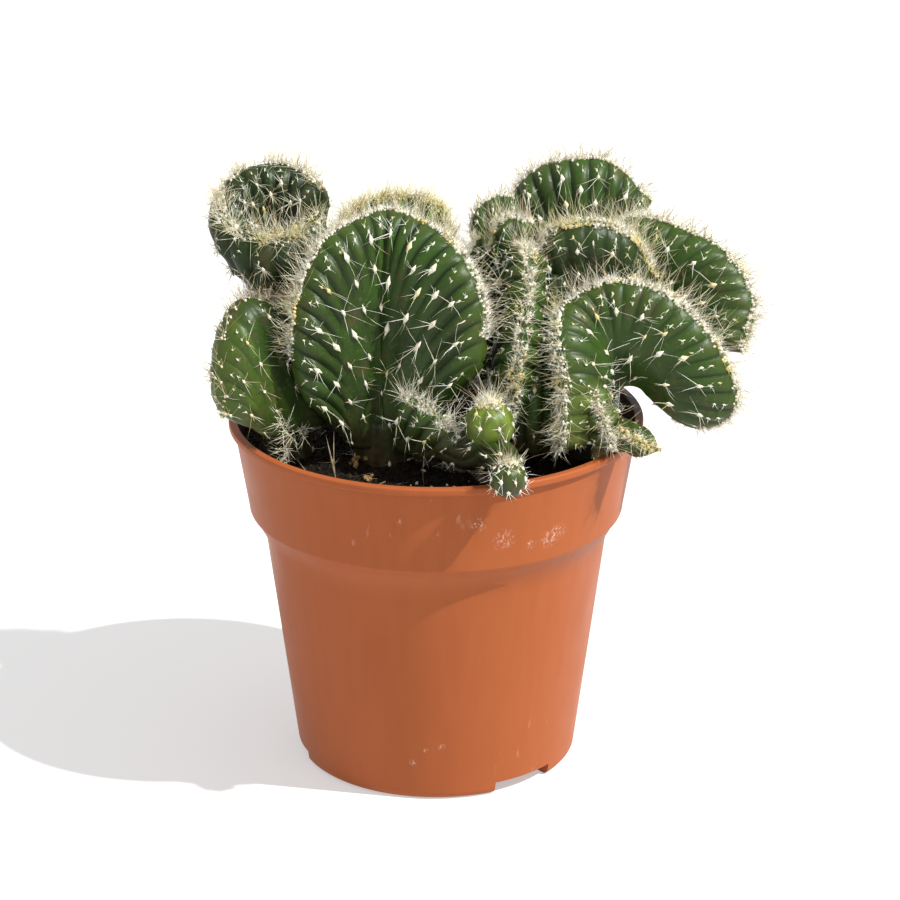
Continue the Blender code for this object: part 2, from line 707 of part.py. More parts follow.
def make_plant():
    """The clumps and their wool bands."""
    pieces = {name: clump_pieces(clump) for name, clump in CLUMPS.items()}
    trees = {name: [tree_of(piece) for piece in group] for name, group in pieces.items()}
    fixed = [tree_of(bpy.data.objects[name]) for name in ("pot", "soil")]
    bands = []
    for clump in CLUMPS.values():
        for label, crest in clump["crests"].items():
            in_the_way = fixed + sum(trees.values(), []) + [tree_of(band) for band in bands]
            for number, mesh in enumerate(wool_meshes(crest, in_the_way), start=1):
                bands.append(add_object(f"wool_{label}_{number}", *mesh))
    fixed += [tree_of(band) for band in bands]
    clumps = []
    for name, clump in CLUMPS.items():
        others = fixed + sum((group for other, group in trees.items() if other != name), [])
        needles = make_needles(clump, trees[name], others)
        clumps.append(join(name, pieces[name] + needles))
        trees[name] = [tree_of(clumps[-1])]
    return clumps, bands


def centre_on_box(bodies):
    """Moves the bodies sideways until their common box is centred on the Z axis."""
    points = np.array([v.co for body in bodies for v in body.data.vertices])
    middle = (points.min(axis=0) + points.max(axis=0)) / 2
    for body in bodies:
        body.data.transform(Matrix.Translation((-middle[0], -middle[1], 0.0)))


def finish(made, look):
    """Scales a body to metres, splits it into triangles and gives it its material."""
    made.data.transform(Matrix.Scale(MM, 4))
    made.data.materials.clear()
    made.data.materials.append(look)
    work = bmesh.new()
    work.from_mesh(made.data)
    bmesh.ops.triangulate(work, faces=work.faces)
    work.to_mesh(made.data)
    work.free()


def main():
    clear_scene()
    terracotta = material("terracotta_plastic", (0.56, 0.20, 0.09), 0.45)
    peat = material("peat", (0.02, 0.015, 0.01), 0.95)
    skin = material("cactus_skin", (0.04, 0.12, 0.03), 0.5)
    wool = material("cream_wool", (0.75, 0.68, 0.45), 0.9)
    pot = make_pot()
    soil = make_soil()
    clumps, bands = make_plant()
    centre_on_box([pot, soil] + clumps + bands)
    finish(pot, terracotta)
    finish(soil, peat)
    for clump in clumps:
        finish(clump, skin)
    for band in bands:
        finish(band, wool)


main()
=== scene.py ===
"""The looks of the potted crested cactus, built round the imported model.

The plant's crests are raised again from the same growing edges and feet as in the solids, with all of
their ribs, woolly edges and fine spines. The pot is turned again with a round wall, and the soil gets
its crumbs, perlite and dry bits.

Lengths are in millimetres up to the mesh, where they are scaled to metres.
"""

from math import cos, pi, radians, sin

import bmesh
import bpy
import numpy as np
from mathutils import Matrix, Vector
from mathutils.bvhtree import BVHTree


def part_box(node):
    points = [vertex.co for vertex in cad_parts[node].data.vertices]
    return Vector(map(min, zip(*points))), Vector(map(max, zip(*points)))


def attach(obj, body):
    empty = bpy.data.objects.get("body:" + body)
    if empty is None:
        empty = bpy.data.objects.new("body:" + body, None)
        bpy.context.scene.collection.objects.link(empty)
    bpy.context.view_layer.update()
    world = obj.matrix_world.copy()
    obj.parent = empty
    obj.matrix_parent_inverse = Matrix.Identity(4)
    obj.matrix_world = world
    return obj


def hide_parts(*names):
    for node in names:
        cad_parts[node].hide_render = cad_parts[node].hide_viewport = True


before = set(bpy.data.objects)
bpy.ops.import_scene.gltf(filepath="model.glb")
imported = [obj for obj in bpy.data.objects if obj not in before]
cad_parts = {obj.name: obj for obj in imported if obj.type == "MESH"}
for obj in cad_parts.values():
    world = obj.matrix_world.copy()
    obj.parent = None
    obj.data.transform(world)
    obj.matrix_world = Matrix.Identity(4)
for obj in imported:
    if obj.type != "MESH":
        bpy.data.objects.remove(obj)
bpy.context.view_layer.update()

MM = 0.001
SEED = 5

# The pot's axis in the frame. Everything is made round that axis and moved here.
POT_LOW, POT_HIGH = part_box("pot")
AXIS = np.array(((POT_LOW.x + POT_HIGH.x) / 2, (POT_LOW.y + POT_HIGH.y) / 2, 0.0)) / MM

# Camera, light and floor
CAMERA_AIM = (4.05, 0.0, 92.7)
CAMERA_DISTANCE = 1100.0
CAMERA_ELEVATION = 21.0
SENSOR = 36.0
CAMERA_LENS = 151.5
SUN_WAY = (0.78, -0.30, 1.0)
SUN_STRENGTH = 5.4
SUN_SPREAD = 1.0
SUN_COLOR = (1.0, 0.99, 0.96)
SKY_STRENGTH = 0.72
FLOOR_HALF = 3000
FLOOR_GLOW = 0.42

# Pot
POT_HEIGHT = 104.0
LIP_RADIUS = 60.0
LIP_DROP = 2.2
LIP_ROUND = 0.6
LIP_INNER_RADIUS = 57.4
BAND_TOP_RADIUS = 58.4
BAND_LOW_RADIUS = 54.8
BAND_LOW_HEIGHT = 77.8
BAND_LOW_ROUND = 1.9
NECK_RADIUS = 49.8
NECK_HEIGHT = 69.5
BODY_LOW_RADIUS = 40.9
BASE_RADIUS = 39.0
BASE_ROUND = 2.4
WALL = 1.4
INNER_SLOPE = (LIP_INNER_RADIUS - BAND_LOW_RADIUS + WALL) / (POT_HEIGHT - BAND_LOW_HEIGHT)
FOOT_HEIGHT = 4.0
FOOT_INNER_RADIUS = 33.0
FLOOR_THICKNESS = 1.6
FLOOR_HOLE_RADIUS = 5.0
POT_SIDES = 240
NOTCH_ANGLES = (-51, 69, 189)
NOTCH_WIDTH = 20.0
NOTCH_HEIGHT = 3.8
NOTCH_REACH = 20.0
DRAIN_HOLES = 5
DRAIN_RING = 22.0
DRAIN_RADIUS = 4.0
DRAIN_SIDES = 32
SHARP_ANGLE = 35

# Dusty scuffs on the pot, and a painted shadow on the stretch of its lip that the low fan's right lobe
# hangs over: the angle round the pot's axis in degrees, the height and how far each one reaches.
SCUFFS = ((-61, 83, 1.8), (-61.5, 83.3, 1.2), (-70, 86, 4.0), (-52, 85, 3.5), (-55, 83.5, 3.5),
          (-78, 92, 3.0), (-100, 93, 1.2), (-88, 18, 1.5), (-94, 16.5, 1.2), (-99, 12.5, 1.5))
LIP_SHADOW_SPOT = (16, 104, 34.0)

# Soil
SOIL_EDGE_HEIGHT = 96.5
SOIL_DEPTH = 25.0
SOIL_RADIUS = 57.0
SOIL_TAPER = 0.88
SOIL_CROWN = 2.0
SOIL_CLEAR = 0.35
SOIL_CELL = 0.7
SOIL_SIDES = 200
SOIL_ROUGH = 0.12
SOIL_LUMPS = ((0.5, 16.0, 21), (0.35, 6.0, 22), (0.22, 2.2, 23))
LOOSE_MARGIN = 1.2
GRAIN_COUNT = 5200
PERLITE_COUNT = 60
FIBRE_COUNT = 130
DRY_LIFT = 0.3

# Dry bits on the soil: thin stalks with their two ends and their radius, crumbs of bark with their
# place and their size, and the small tufts of a dead pup in front of the left root.
DRY_STALKS = (
    ((-27.2, -44, 96), (-30.5, -43, 114), 0.45),
    ((-27.5, -44, 96), (-28.2, -43, 115), 0.35),
    ((-3, -42, 96), (-3, -40, 108), 0.16),
)
BARK_CRUMBS = (((-23, -27, 99.6), 2.0), ((-19.5, -38, 98.8), 1.5), ((-20, -24, 99.5), 1.4))
DEAD_PUP = ((-43, -27, 101), (-42, -28, 104), (-41, -28, 107), (-42, -29, 110), (-43.5, -30, 113),
            (-37.5, -27, 108.5))
DEAD_TUFT = 26
BARK_PIECES = 7

# Crests
RIB_PITCH = 6.0
RIB_DEPTH = 1.4
RIB_SAMPLES = 8
RIDGE_POWER = 0.55
HUB_PULL = 0.9
FRESH_FADE = 0.03
# The ribs fade out at the foot, at the edge, where they crowd and far down the face.
FOOT_FADE = (0.08, 0.4)
EDGE_FADE = (-1.5, 2.0)
CROWD_FADE = (2.6, 5.4)
DEEP_FADE = (12.0, 28.0)
ROW_STEP = 1.8
EDGE_ROWS = 9
EDGE_INSET = 0.4
EDGE_ROUND = 1.25
END_SHARE = 0.12
NORMAL_SPREAD = 8.0
WAVE_LENGTH = 26.0
WAVE_HEIGHT = 0.45
AREOLE_STEP = 7.5
AREOLE_FIRST = 5.5
AREOLE_RISE = 0.4
YOUNG_DEPTHS = (2.0, 3.6)
YOUNG_SIZE = 0.42

# Stems and pups
STEM_SIDES = 48
STEM_STEP = 1.5
STEM_RIBS = 8
STEM_RIB = 0.7
STEM_AREOLE_STEP = 6.0
STEM_AREOLE_SIZE = 0.8
STEM_DEPTH_MARK = 40.0
PUP_STEP = 0.5
PUP_RIB = 0.25
PUP_AREOLE_TILTS = (-25, 10, 42)

# Growing edges and spines
TUFT_EVERY = 0.14
TUFT_DEPTHS = (0.0, 0.04, 0.1, 0.18, 0.3, 0.5, 0.8, 1.3, 2.0, 2.8)
TUFT_FELT = (0.42, 0.36, 0.6)
AREOLE_FELT = (0.7, 0.5)
WISP_SHARE = 0.3
WISP_LENGTHS = (7.5, 12.5)
WISP_WIDEST = 65
# The next two tones darken the pale wisps and hairs beyond their own straw colour: painted shade, as thin
# pale hairs look grey against the bright backdrop.
WISP_SHADE_TONE = 0.5
HAIR_SHADE_TONE = 0.25
HAIR_RADIUS = 0.065
FUZZ_RADIUS = 0.06
FUZZ_WIDEST = 80
SPINE_RADII = (0.06, 0.1)
SPINE_BEND = 0.04

# What a crest's own table may change: how far its ribs stand out, how dense, how wide and how yellow
# its woolly edge is, how much of the edge has no wool at its start and its end, how far apart its tufts
# stand, how many fuzz spines a tuft has and how long they are, how many longer hairs it has, their
# length and how far they lean, the size and the shape of its areoles and how far apart they stand, how
# long their spines are and how many more than usual, how dark the spines are at the edge and how much
# darker at the foot, and how fresh its green is, on the whole, and more so on a share of it at the start.
# A fresh below zero darkens the green; on the curl and the mid fan that is painted shade.
USUAL = dict(ribs=1.0, wool=1.0, spread=0.2, yellow=0.3, bare=(0.0, 0.0), apart=1.9, fuzz_count=5,
             fuzz=(1.2, 3.2), hairs=0.55, hair=(4.5, 9.5), widest=60, areole=1.0, oval=1.5, areole_gap=5.6,
             spines=(3.5, 11.5), crowd=0, tone=0.1, deep_tone=0.25, fresh=0.0, fresh_start=(0.0, 0.0))

# Each crest has the outside of its growing edge, its foot, its half thickness and, where its ribs bend
# towards a middle, that middle. The curl is rolled into a funnel instead.
# The curl's fresh below zero darkens its green: painted shade inside the funnel.
CURL = dict(centre=(-47, 4, 167), radius=15, tilt=29, start=15, end=345, foot=(-43, 2, 139),
            foot_radius=4.5, half=5.5, foot_half=2.8, yellow=0.4, wool=0.45, apart=3.2, fuzz_count=3,
            fuzz=(1.5, 4.0), hairs=3.2, hair=(5.0, 10.0), widest=105, areole=0.7, areole_gap=3.0,
            spines=(5.0, 12.5), crowd=8, tone=0.12, deep_tone=0.9, fresh=-0.7)
LEFT_CRESTS = {
    "low_lobe": dict(
        edge=((-58, -35, 116), (-61, -34, 125), (-61, -32, 134), (-59, -29, 142), (-55, -24, 147),
              (-50, -20, 146), (-43, -15, 140), (-36, -11, 130)),
        foot=((-51, -27, 109), (-32, -13, 107)), half=6.5,
        ribs=0.4, areole=0.8, spines=(4.0, 11.0), crowd=2, tone=0.3, wool=0.14, spread=0.3,
        fuzz_count=2, hairs=3.0, fresh=-0.3, fresh_start=(0.45, 0.5)),
    "back_lobe": dict(
        edge=((-57, -8, 128), (-56, -8, 138), (-50, -9, 143), (-43, -11, 143), (-38, -12, 137)),
        foot=((-49, -8, 118), (-38, -9, 118)), half=5.5, tone=0.3,
        yellow=0.8, fuzz=(2.0, 5.0)),
    "curl": CURL,
    "great_fan": dict(
        edge=((-37, -27, 118), (-40, -29, 128), (-40, -29, 144), (-34, -22, 161), (-24, -14, 167),
              (-12, -9, 169), (2, -19, 165), (10, -28, 158), (14, -32, 147), (13, -34, 134),
              (10, -33, 127)),
        foot=((-25, -21, 103), (-14, -18, 103), (-3, -22, 103)), half=6.5, hub=(-17, -19, 132),
        bare=(0.1, 0.09), oval=2.0, spread=0.1, yellow=0.2, wool=0.85, hairs=0.45),
    "rear_fan": dict(
        edge=((-29, 20, 143), (-26, 27, 157), (-12, 31, 161), (1, 29, 159), (6, 21, 148)),
        foot=((-18, 3, 112), (-8, 3, 112)), half=6.5,
        spread=1.5, yellow=1.1, fuzz=(3.0, 7.0), wool=1.2, tone=0.2, fresh=0.4),
    "front_lobe": dict(
        edge=((-10, -32, 122), (-6, -34, 121), (0, -38, 118), (5, -41, 114), (8, -42, 109)),
        foot=((-11, -25, 106), (1, -33, 104)), half=4.5, wool=0.5, fuzz=(2.0, 5.0), tone=0.0,
        hairs=1.6, hair=(5.0, 11.0)),
}
RIGHT_CRESTS = {
    "low_fan": dict(
        edge=((34, -35, 105), (35, -36, 115), (35, -35, 127), (33, -29, 138), (35, -20, 144),
              (43, -15, 148), (54, -15, 150), (68, -17, 145), (80, -20, 132), (86, -20, 119),
              (85, -18, 111), (79, -15, 106), (72, -13, 106)),
        foot=((43, -17, 104), (48, -14, 113), (53, -14, 118), (58, -14, 118), (61, -14, 114)),
        half=6.0, foot_half=2.5, hub=(52, -14, 126), ribs=0.7, apart=3.0, wool=0.85,
        fresh_start=(0.13, 0.7)),
    "back_fan": dict(
        edge=((47, 15, 153), (57, 14, 160), (71, 9, 158), (84, 2, 152), (91, -7, 141),
              (87, -15, 128)),
        foot=((50, 8, 124), (64, 5, 123)), half=6.5, hub=(60, 8, 136), ribs=0.6),
    # The mid fan's fresh below zero darkens its green: painted shade.
    "mid_fan": dict(
        edge=((29, -8, 156), (32, -9, 163), (45, -8, 165), (56, -6, 160), (63, -6, 148)),
        foot=((36, 0, 127), (53, 0, 130)), half=6.5, ribs=0.5, fresh=-0.5, yellow=0.6),
    "top_fan": dict(
        edge=((21, 26, 154), (23, 27, 164), (31, 28, 171), (43, 28, 173), (52, 28, 171),
              (63, 24, 161)),
        foot=((35, 18, 140), (48, 18, 140)), half=6.5),
    "inner_fan": dict(
        edge=((10, 20, 152), (12, 22, 160), (20, 24, 163), (29, 24, 158)),
        foot=((14, 13, 132), (23, 13, 132)), half=6.0),
    "nook_fan": dict(
        edge=((15, 3, 153), (17, 3, 160), (21, 4, 163), (28, 4, 161)),
        foot=((18, 4, 136), (27, 4, 136)), half=5.0),
    "fold_fan": dict(
        edge=((13, -2, 112), (10, 0, 124), (9, 3, 138), (9, 6, 150), (12, 7, 156)),
        foot=((22, -2, 112), (23, 5, 134)), half=5.0),
    "narrow_fan": dict(
        edge=((23, -2, 156), (26, -12, 159), (26, -22, 156), (25, -29, 147), (24, -32, 137),
              (22, -33, 126), (21, -31, 113)),
        foot=((22, 4, 134), (21, -6, 108)), half=5.5, apart=4.2, wool=0.8),
    "side_fan": dict(
        edge=((41, -30, 129), (44, -33, 122), (47, -36, 115), (50, -38, 107)),
        foot=((44, -16, 118), (45, -20, 106)), half=4.5, spread=0.12, fresh=0.15),
    "rim_fan": dict(
        edge=((50, -34, 112), (54, -37, 111), (59, -39, 109), (63, -38, 107)),
        foot=((46, -26, 109), (52, -25, 108)), half=4.0, spread=0.1, wool=0.8, yellow=0.8, areole=0.6),
}

# Each stem has the points of its middle line, its radius at each of them and how dark its spines are.
LEFT_STEMS = (
    (((-42, -15, 92), (-43, -12, 112)), (6.5, 7.0), 0.2),
    (((-43, -12, 108), (-46, -5, 124), (-43, 2, 142)), (6.5, 5.5, 5.5), 0.2),
    (((-14, -18, 92), (-14, -17, 110)), (8.5, 9.2), 0.2),
    (((-13, -16, 108), (-13, -3, 114), (-12, 4, 120)), (6.5, 6.5, 6.5), 0.2),
    (((-6, -28, 107), (3, -35, 108), (10, -41, 108), (15, -43, 113)), (4.5, 4.7, 5.2, 6.0), 0.2),
    (((13, -41, 108), (18, -50, 110), (20, -60, 109.5)), (5.0, 4.5, 4.0), 0.2),
)
RIGHT_STEMS = (
    (((43, -16, 92), (46, -13, 117)), (6.5, 6.5), 0.2),
    (((46, -12, 112), (46, -3, 124), (46, 4, 134), (42, 18, 144)), (6.0, 6.5, 6.5, 6.0), 0.2),
    (((44, -8, 118), (52, 2, 122), (58, 7, 127)), (5.5, 5.5, 6.0), 0.2),
    (((22, -3, 92), (23, 3, 125), (20, 11, 136)), (7.5, 7.5, 7.0), 0.2),
    (((22, -8, 107), (33, -14, 109), (43, -16, 112)), (5.5, 5.5, 5.5), 0.2),
    (((27, -22, 102), (27, -22, 116), (28, -18, 132), (32, -13, 140), (33, -9, 149)),
     (6.5, 7.0, 5.5, 5.0, 4.0), 0.7),
)

# Each pup is a small ball: its middle, its radius and how fresh its green is.
LEFT_PUPS = (((15, -43, 116.5), 7.0, 0.8), ((20, -62.5, 108), 5.0, 0.1))
CLUMPS = {
    "left": dict(crests=LEFT_CRESTS, stems=LEFT_STEMS, pups=LEFT_PUPS),
    "right": dict(crests=RIGHT_CRESTS, stems=RIGHT_STEMS, pups=()),
}


# Curves and surfaces

def unit(vectors):
    return vectors / np.maximum(np.linalg.norm(vectors, axis=-1, keepdims=True), 1e-9)


def steps_of(line):
    return np.linalg.norm(np.diff(line, axis=0), axis=1)


def distances(line):
    """How far along the line each of its points is."""
    return np.concatenate([[0], np.cumsum(steps_of(line))])


def smooth_line(points, count):
    """Even steps along a Catmull-Rom curve through the points."""
    p = np.array(points, float)
    ends = np.vstack([2 * p[0] - p[1], p, 2 * p[-1] - p[-2]])
    t = np.linspace(0, 1, 60, endpoint=False)[:, None]
    fine = [0.5 * (2 * b + (c - a) * t + (2 * a - 5 * b + 4 * c - d) * t ** 2
                   + (3 * b - a - 3 * c + d) * t ** 3)
            for a, b, c, d in zip(ends, ends[1:], ends[2:], ends[3:])]
    fine = np.vstack(fine + [p[-1:]])
    along = distances(fine)
    at = np.linspace(0, along[-1], count)
    return np.stack([np.interp(at, along, fine[:, k]) for k in range(3)], axis=-1)


def curl_lines(count):
    """The growing edge and the foot of the crest that is rolled into a funnel."""
    turn = np.radians(np.linspace(CURL["start"], CURL["end"], count))[:, None]
    tilt = radians(CURL["tilt"])
    east, north, rise = np.array(((1.0, 0.0, 0.0), (0.0, 1.0, 0.0), (0.0, cos(tilt), sin(tilt))))
    edge = np.array(CURL["centre"]) + CURL["radius"] * (np.cos(turn) * east + np.sin(turn) * rise)
    foot = np.array(CURL["foot"]) + CURL["foot_radius"] * (np.cos(turn) * east + np.sin(turn) * north)
    return edge, foot


def crest_lines(crest, count):
    if crest is CURL:
        return curl_lines(count)
    edge, foot = smooth_line(crest["edge"], count), smooth_line(crest["foot"], count)
    return edge - EDGE_INSET * unit(edge - foot), foot


def evened(normals, spread):
    """Normals averaged over that many stations to either side."""
    reach = int(3 * spread)
    weights = np.exp(-0.5 * (np.arange(-reach, reach + 1) / spread) ** 2)
    padded = np.pad(normals, ((reach, reach), (0, 0)), mode="edge")
    return unit(np.stack([np.convolve(padded[:, k], weights, mode="valid") for k in range(3)], axis=-1))


def round_off(distance, radius):
    """0 at an edge, rising to 1 at the radius along a quarter circle."""
    return np.sqrt(1 - (1 - np.clip(distance / radius, 0, 1)) ** 2)


def soft_step(value, low, high):
    t = np.clip((value - low) / (high - low), 0, 1)
    return t * t * (3 - 2 * t)


def wander(points, length, seed):
    """A smooth field of hills and dips between about -1 and 1, that far from crest to crest."""
    rng = np.random.default_rng(seed)
    total = np.zeros(points.shape[:-1])
    for _ in range(5):
        way = unit(rng.normal(size=3)) * 2 * pi / (length * rng.uniform(0.7, 1.5))
        total += np.sin(points @ way + rng.uniform(0, 2 * pi))
    return total / 2.2


class Crest:
    """A crest's middle surface and skin, sampled at stations along its growing edge."""

    def __init__(self, shape):
        self.half = shape["half"]
        self.foot_half = shape.get("foot_half", self.half)
        self.style = USUAL | shape
        length = float(steps_of(crest_lines(shape, 200)[0]).sum())
        self.ribs = max(3, round(length / RIB_PITCH))
        self.count = RIB_SAMPLES * self.ribs + 1
        self.spread = NORMAL_SPREAD * self.count / length
        self.edge, self.foot = crest_lines(shape, self.count)
        self.height = np.linalg.norm(self.edge - self.foot, axis=1)
        self.ridge = np.abs(np.sin(pi * np.arange(self.count) / RIB_SAMPLES)) ** RIDGE_POWER
        self.hub = np.array(shape.get("hub", (0, 0, 0)), float)
        bow = HUB_PULL * np.sin(pi * np.linspace(0, 1, self.count)) ** 0.6
        self.pull = ("hub" in shape) * bow[:, None]
        self.areoles = {1: (), -1: ()}
        self.areoles = {face: self.find_areoles(face) for face in (1, -1)}

    def row(self, depth):
        """Points, the way to the edge, normals, half thickness and share of the height, at a depth."""
        share = np.clip(1 - depth / self.height, 0, 1)[:, None]
        bend = self.pull * (self.hub - (self.foot + self.edge) / 2)
        line = self.foot * (1 - share) + self.edge * share + 2 * share * (1 - share) * bend
        reach = unit(self.edge - self.foot + 2 * (1 - 2 * share) * bend)
        normal = evened(unit(np.cross(np.gradient(line, axis=0), reach)), self.spread)
        half = self.foot_half + (self.half - self.foot_half) * np.minimum(2 * share[:, 0], 1)
        along = distances(line)
        from_end = np.minimum(along, along[-1] - along)
        ends = np.maximum(round_off(from_end, np.minimum(half, along[-1] / 2)), END_SHARE)
        return line, reach, normal, half * ends, share[:, 0]

    def skin(self, depth, face):
        """The skin on one face at a depth, with its normal, the way to the edge and its marks."""
        line, reach, normal, thick, share = self.row(depth)
        pitch = RIB_SAMPLES * np.linalg.norm(np.gradient(line, axis=0), axis=1)
        fade = soft_step(share, *FOOT_FADE) * soft_step(depth, *EDGE_FADE) * soft_step(pitch, *CROWD_FADE)
        fade = fade * (1 - 0.75 * soft_step(depth, *DEEP_FADE))
        lift = self.style["ribs"] * RIB_DEPTH * fade * (self.ridge - 0.6) * thick / self.half
        for station, spot in self.areoles[face]:
            near = slice(max(0, station - RIB_SAMPLES), station + RIB_SAMPLES)
            apart = np.linalg.norm(line[near] - line[station], axis=1)
            lift[near] += AREOLE_RISE * np.exp(-(apart / 2.0) ** 2 - ((depth[near] - spot) / 2.4) ** 2)
        out = face * normal
        points = line + out * (thick * round_off(depth, EDGE_ROUND * self.half) + lift)[:, None]
        wave = WAVE_HEIGHT * wander(points, WAVE_LENGTH, 3) * soft_step(depth, 2.0, 10.0)
        # Painted shade: a mark that darkens the furrows between the ribs in the skin's colour.
        furrow_shade = (1 - self.ridge) ** 1.5 * fade * self.style["ribs"]
        return points + out * wave[:, None], out, reach, furrow_shade, share

    def skin_at(self, depth, face):
        return self.skin(np.full(self.count, depth), face)

    def find_areoles(self, face):
        """The station and the depth of each areole: along the ribs, and not too close to each other."""
        found, places = [], []
        for level in range(int(self.height.max() / AREOLE_STEP * 2)):
            depth = AREOLE_FIRST + AREOLE_STEP * level / 2
            points, _, _, _, share = self.skin_at(depth, face)
            for rib in range(level % 2, self.ribs, 2):
                station = rib * RIB_SAMPLES + RIB_SAMPLES // 2
                if share[station] < 0.1 or depth > self.height[station]:
                    continue
                gaps = [np.linalg.norm(place - points[station]) for place in places]
                if min(gaps, default=self.style["areole_gap"]) < self.style["areole_gap"]:
                    continue
                found.append((station, depth))
                places.append(points[station])
        return found

    def depths(self):
        """The depth of every row, an array for each, from the edge to the foot."""
        turned_in = np.minimum(EDGE_ROUND * self.half, 0.45 * self.height)
        rows = [turned_in * (1 - cos(a)) for a in np.linspace(0, pi / 2, EDGE_ROWS)[1:]]
        steps = max(3, round((self.height.max() - self.half) / ROW_STEP))
        return rows + [turned_in + (self.height - turned_in) * k / steps for k in range(1, steps + 1)]

    def mesh(self):
        """Points, faces and the three marks of the whole skin."""
        down, zero = self.depths(), np.zeros(self.count)
        rows = [self.skin(depth, 1) for depth in down[::-1]] + [(self.edge, None, None, zero)]
        rows += [self.skin(depth, -1) for depth in down]
        size = len(rows)
        faces = grid_faces(self.count, size)
        faces += [tuple(range(size)), tuple((self.count - 1) * size + k for k in range(size))]
        start, more = self.style["fresh_start"]
        along = np.linspace(0, 1, self.count)
        fresh = self.style["fresh"] + more * (1 - soft_step(along, start, start + FRESH_FADE))
        points, furrow_shade = (np.stack([row[i] for row in rows], axis=1) for i in (0, 3))
        depth = np.stack(down[::-1] + [zero] + down, axis=1)
        return points.reshape(-1, 3), faces, furrow_shade.ravel(), depth.ravel(), np.repeat(fresh, size)


def circle(radius, count, start=0.0):
    """Even points round a circle, from that share of a step on."""
    turns = 2 * pi * (np.arange(count) + start) / count
    return radius * np.stack([np.cos(turns), np.sin(turns)], axis=-1)


def grid_faces(stations, size):
    """Quads between closed loops of the same size."""
    i, k = np.meshgrid(np.arange(stations - 1), np.arange(size), indexing="ij")
    a = (i * size + k).ravel()
    b = (i * size + (k + 1) % size).ravel()
    return np.stack([a, b, b + size, a + size], axis=1).tolist()


def fan(loop, tip):
    """Triangles between a closed loop and a tip."""
    return [(a, b, tip) for a, b in zip(loop, [*loop[1:], loop[0]])]


def shifted(faces, start):
    return [tuple(start + i for i in face) for face in faces]


def repeated(faces, copies, size):
    """The faces of a body of that many points, made again for each of its copies."""
    return [face for n in range(copies) for face in shifted(faces, n * size)]


def pup_line(centre, radius):
    """A ball as a short upright stem: the points of its middle line and their radii."""
    turns = np.radians(np.linspace(-85, 85, 35))
    points = np.array(centre, float) + np.outer(radius * np.sin(turns), (0, 0, 1))
    return points, radius * np.cos(turns)


def stem_axes(line):
    """The way ahead at each point of a line, with two ways square to it."""
    ahead = unit(np.gradient(line, axis=0))
    side = unit(np.cross(ahead, (0.3, 1.0, 0.1)))
    return ahead, side, np.cross(side, ahead)


def stem_mesh(points, radii, step=STEM_STEP, rib=STEM_RIB, fresh=0.0):
    """A ribbed stem round a smooth line, with a radius at each of its points."""
    given = distances(np.array(points, float))
    count = max(4, round(given[-1] / step))
    line = smooth_line(points, count)
    radius = np.interp(np.linspace(0, given[-1], count), given, radii)
    _, side, up = stem_axes(line)
    turn = 2 * pi * np.arange(STEM_SIDES) / STEM_SIDES
    ridge = np.abs(np.sin(turn * STEM_RIBS / 2)) ** 0.6
    rings = []
    for k, angle in enumerate(turn):
        reach = (radius + np.minimum(rib, 0.15 * radius) * (ridge[k] - 0.6))[:, None]
        rings.append(line + reach * (cos(angle) * side + sin(angle) * up))
    base = count * STEM_SIDES
    faces = grid_faces(count, STEM_SIDES) + fan(range(STEM_SIDES), base)
    faces += fan(range(base - STEM_SIDES, base), base + 1)
    points = np.vstack([np.stack(rings, axis=1).reshape(-1, 3), line[0], line[-1]])
    # The stem's furrows get the same painted shade.
    furrow_shade = np.concatenate([np.tile((1 - ridge) ** 1.5 * rib / STEM_RIB, count), [0, 0]])
    return points, faces, furrow_shade, np.full(len(points), STEM_DEPTH_MARK), np.full(len(points), fresh)


# Meshes and pieces

def add_object(name, data):
    made = bpy.data.objects.new(name, data)
    bpy.context.scene.collection.objects.link(made)
    return made


def add_mesh(name, points, faces, smooth=True):
    mesh = bpy.data.meshes.new(name)
    mesh.from_pydata(((np.asarray(points, float) + AXIS) * MM).tolist(), [], faces)
    work = bmesh.new()
    work.from_mesh(mesh)
    bmesh.ops.recalc_face_normals(work, faces=work.faces)
    work.to_mesh(mesh)
    work.free()
    mesh.shade_smooth() if smooth else mesh.shade_flat()
    return add_object(name, mesh)


def mark(made, name, values):
    attribute = made.data.attributes.new(name, "FLOAT", "POINT")
    attribute.data.foreach_set("value", np.asarray(values, np.float32))


def settle(made, look, slot, *nodes):
    """Gives a piece its material and its place in the frame."""
    made.data.materials.clear()
    made.data.materials.append(look.material)
    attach(made, "root")
    if nodes:
        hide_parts(*nodes)


def gather(parts):
    """One set of points, faces and marks from several."""
    start, faces = 0, []
    for points, part_faces, *_ in parts:
        faces += shifted(part_faces, start)
        start += len(points)
    points, _, *marks = zip(*parts)
    return np.vstack(points), faces, [np.concatenate(values) for values in marks]


def needle_cloud(name, needles, joints):
    """Many three-sided needles in one mesh, with a slight bend where they have a joint.

    Each needle has its root, its way, its length, its radius, its tone and how yellow it is.
    """
    roots, ways, lengths, radii, tones, yellows = (np.array(values, float) for values in zip(*needles))
    side = unit(np.cross(ways, (0.31, 0.77, 0.55)))
    up = np.cross(ways, side)
    bend = side * np.sin(37 * roots[:, :1]) + up * np.cos(41 * roots[:, 1:2])
    bend = SPINE_BEND * lengths[:, None] * bend
    rings = []
    for share, width in ((-0.08, 1.0), (0.5, 0.75))[:joints + 1]:
        centre = roots + ways * (lengths * share)[:, None] + (bend if share > 0 else 0)
        for k in range(3):
            turn = 2 * pi * k / 3
            rings.append(centre + (radii * width)[:, None] * (cos(turn) * side + sin(turn) * up))
    rings.append(roots + ways * lengths[:, None])
    size = len(rings)
    pattern = [(2, 1, 0)] + grid_faces(joints + 1, 3) + fan(range(size - 4, size - 1), size - 1)
    points = np.stack(rings, axis=1).reshape(-1, 3)
    made = add_mesh(name, points, repeated(pattern, len(roots), size))
    mark(made, "tone", np.repeat(tones, size))
    mark(made, "yellow", np.repeat(yellows, size))
    return made


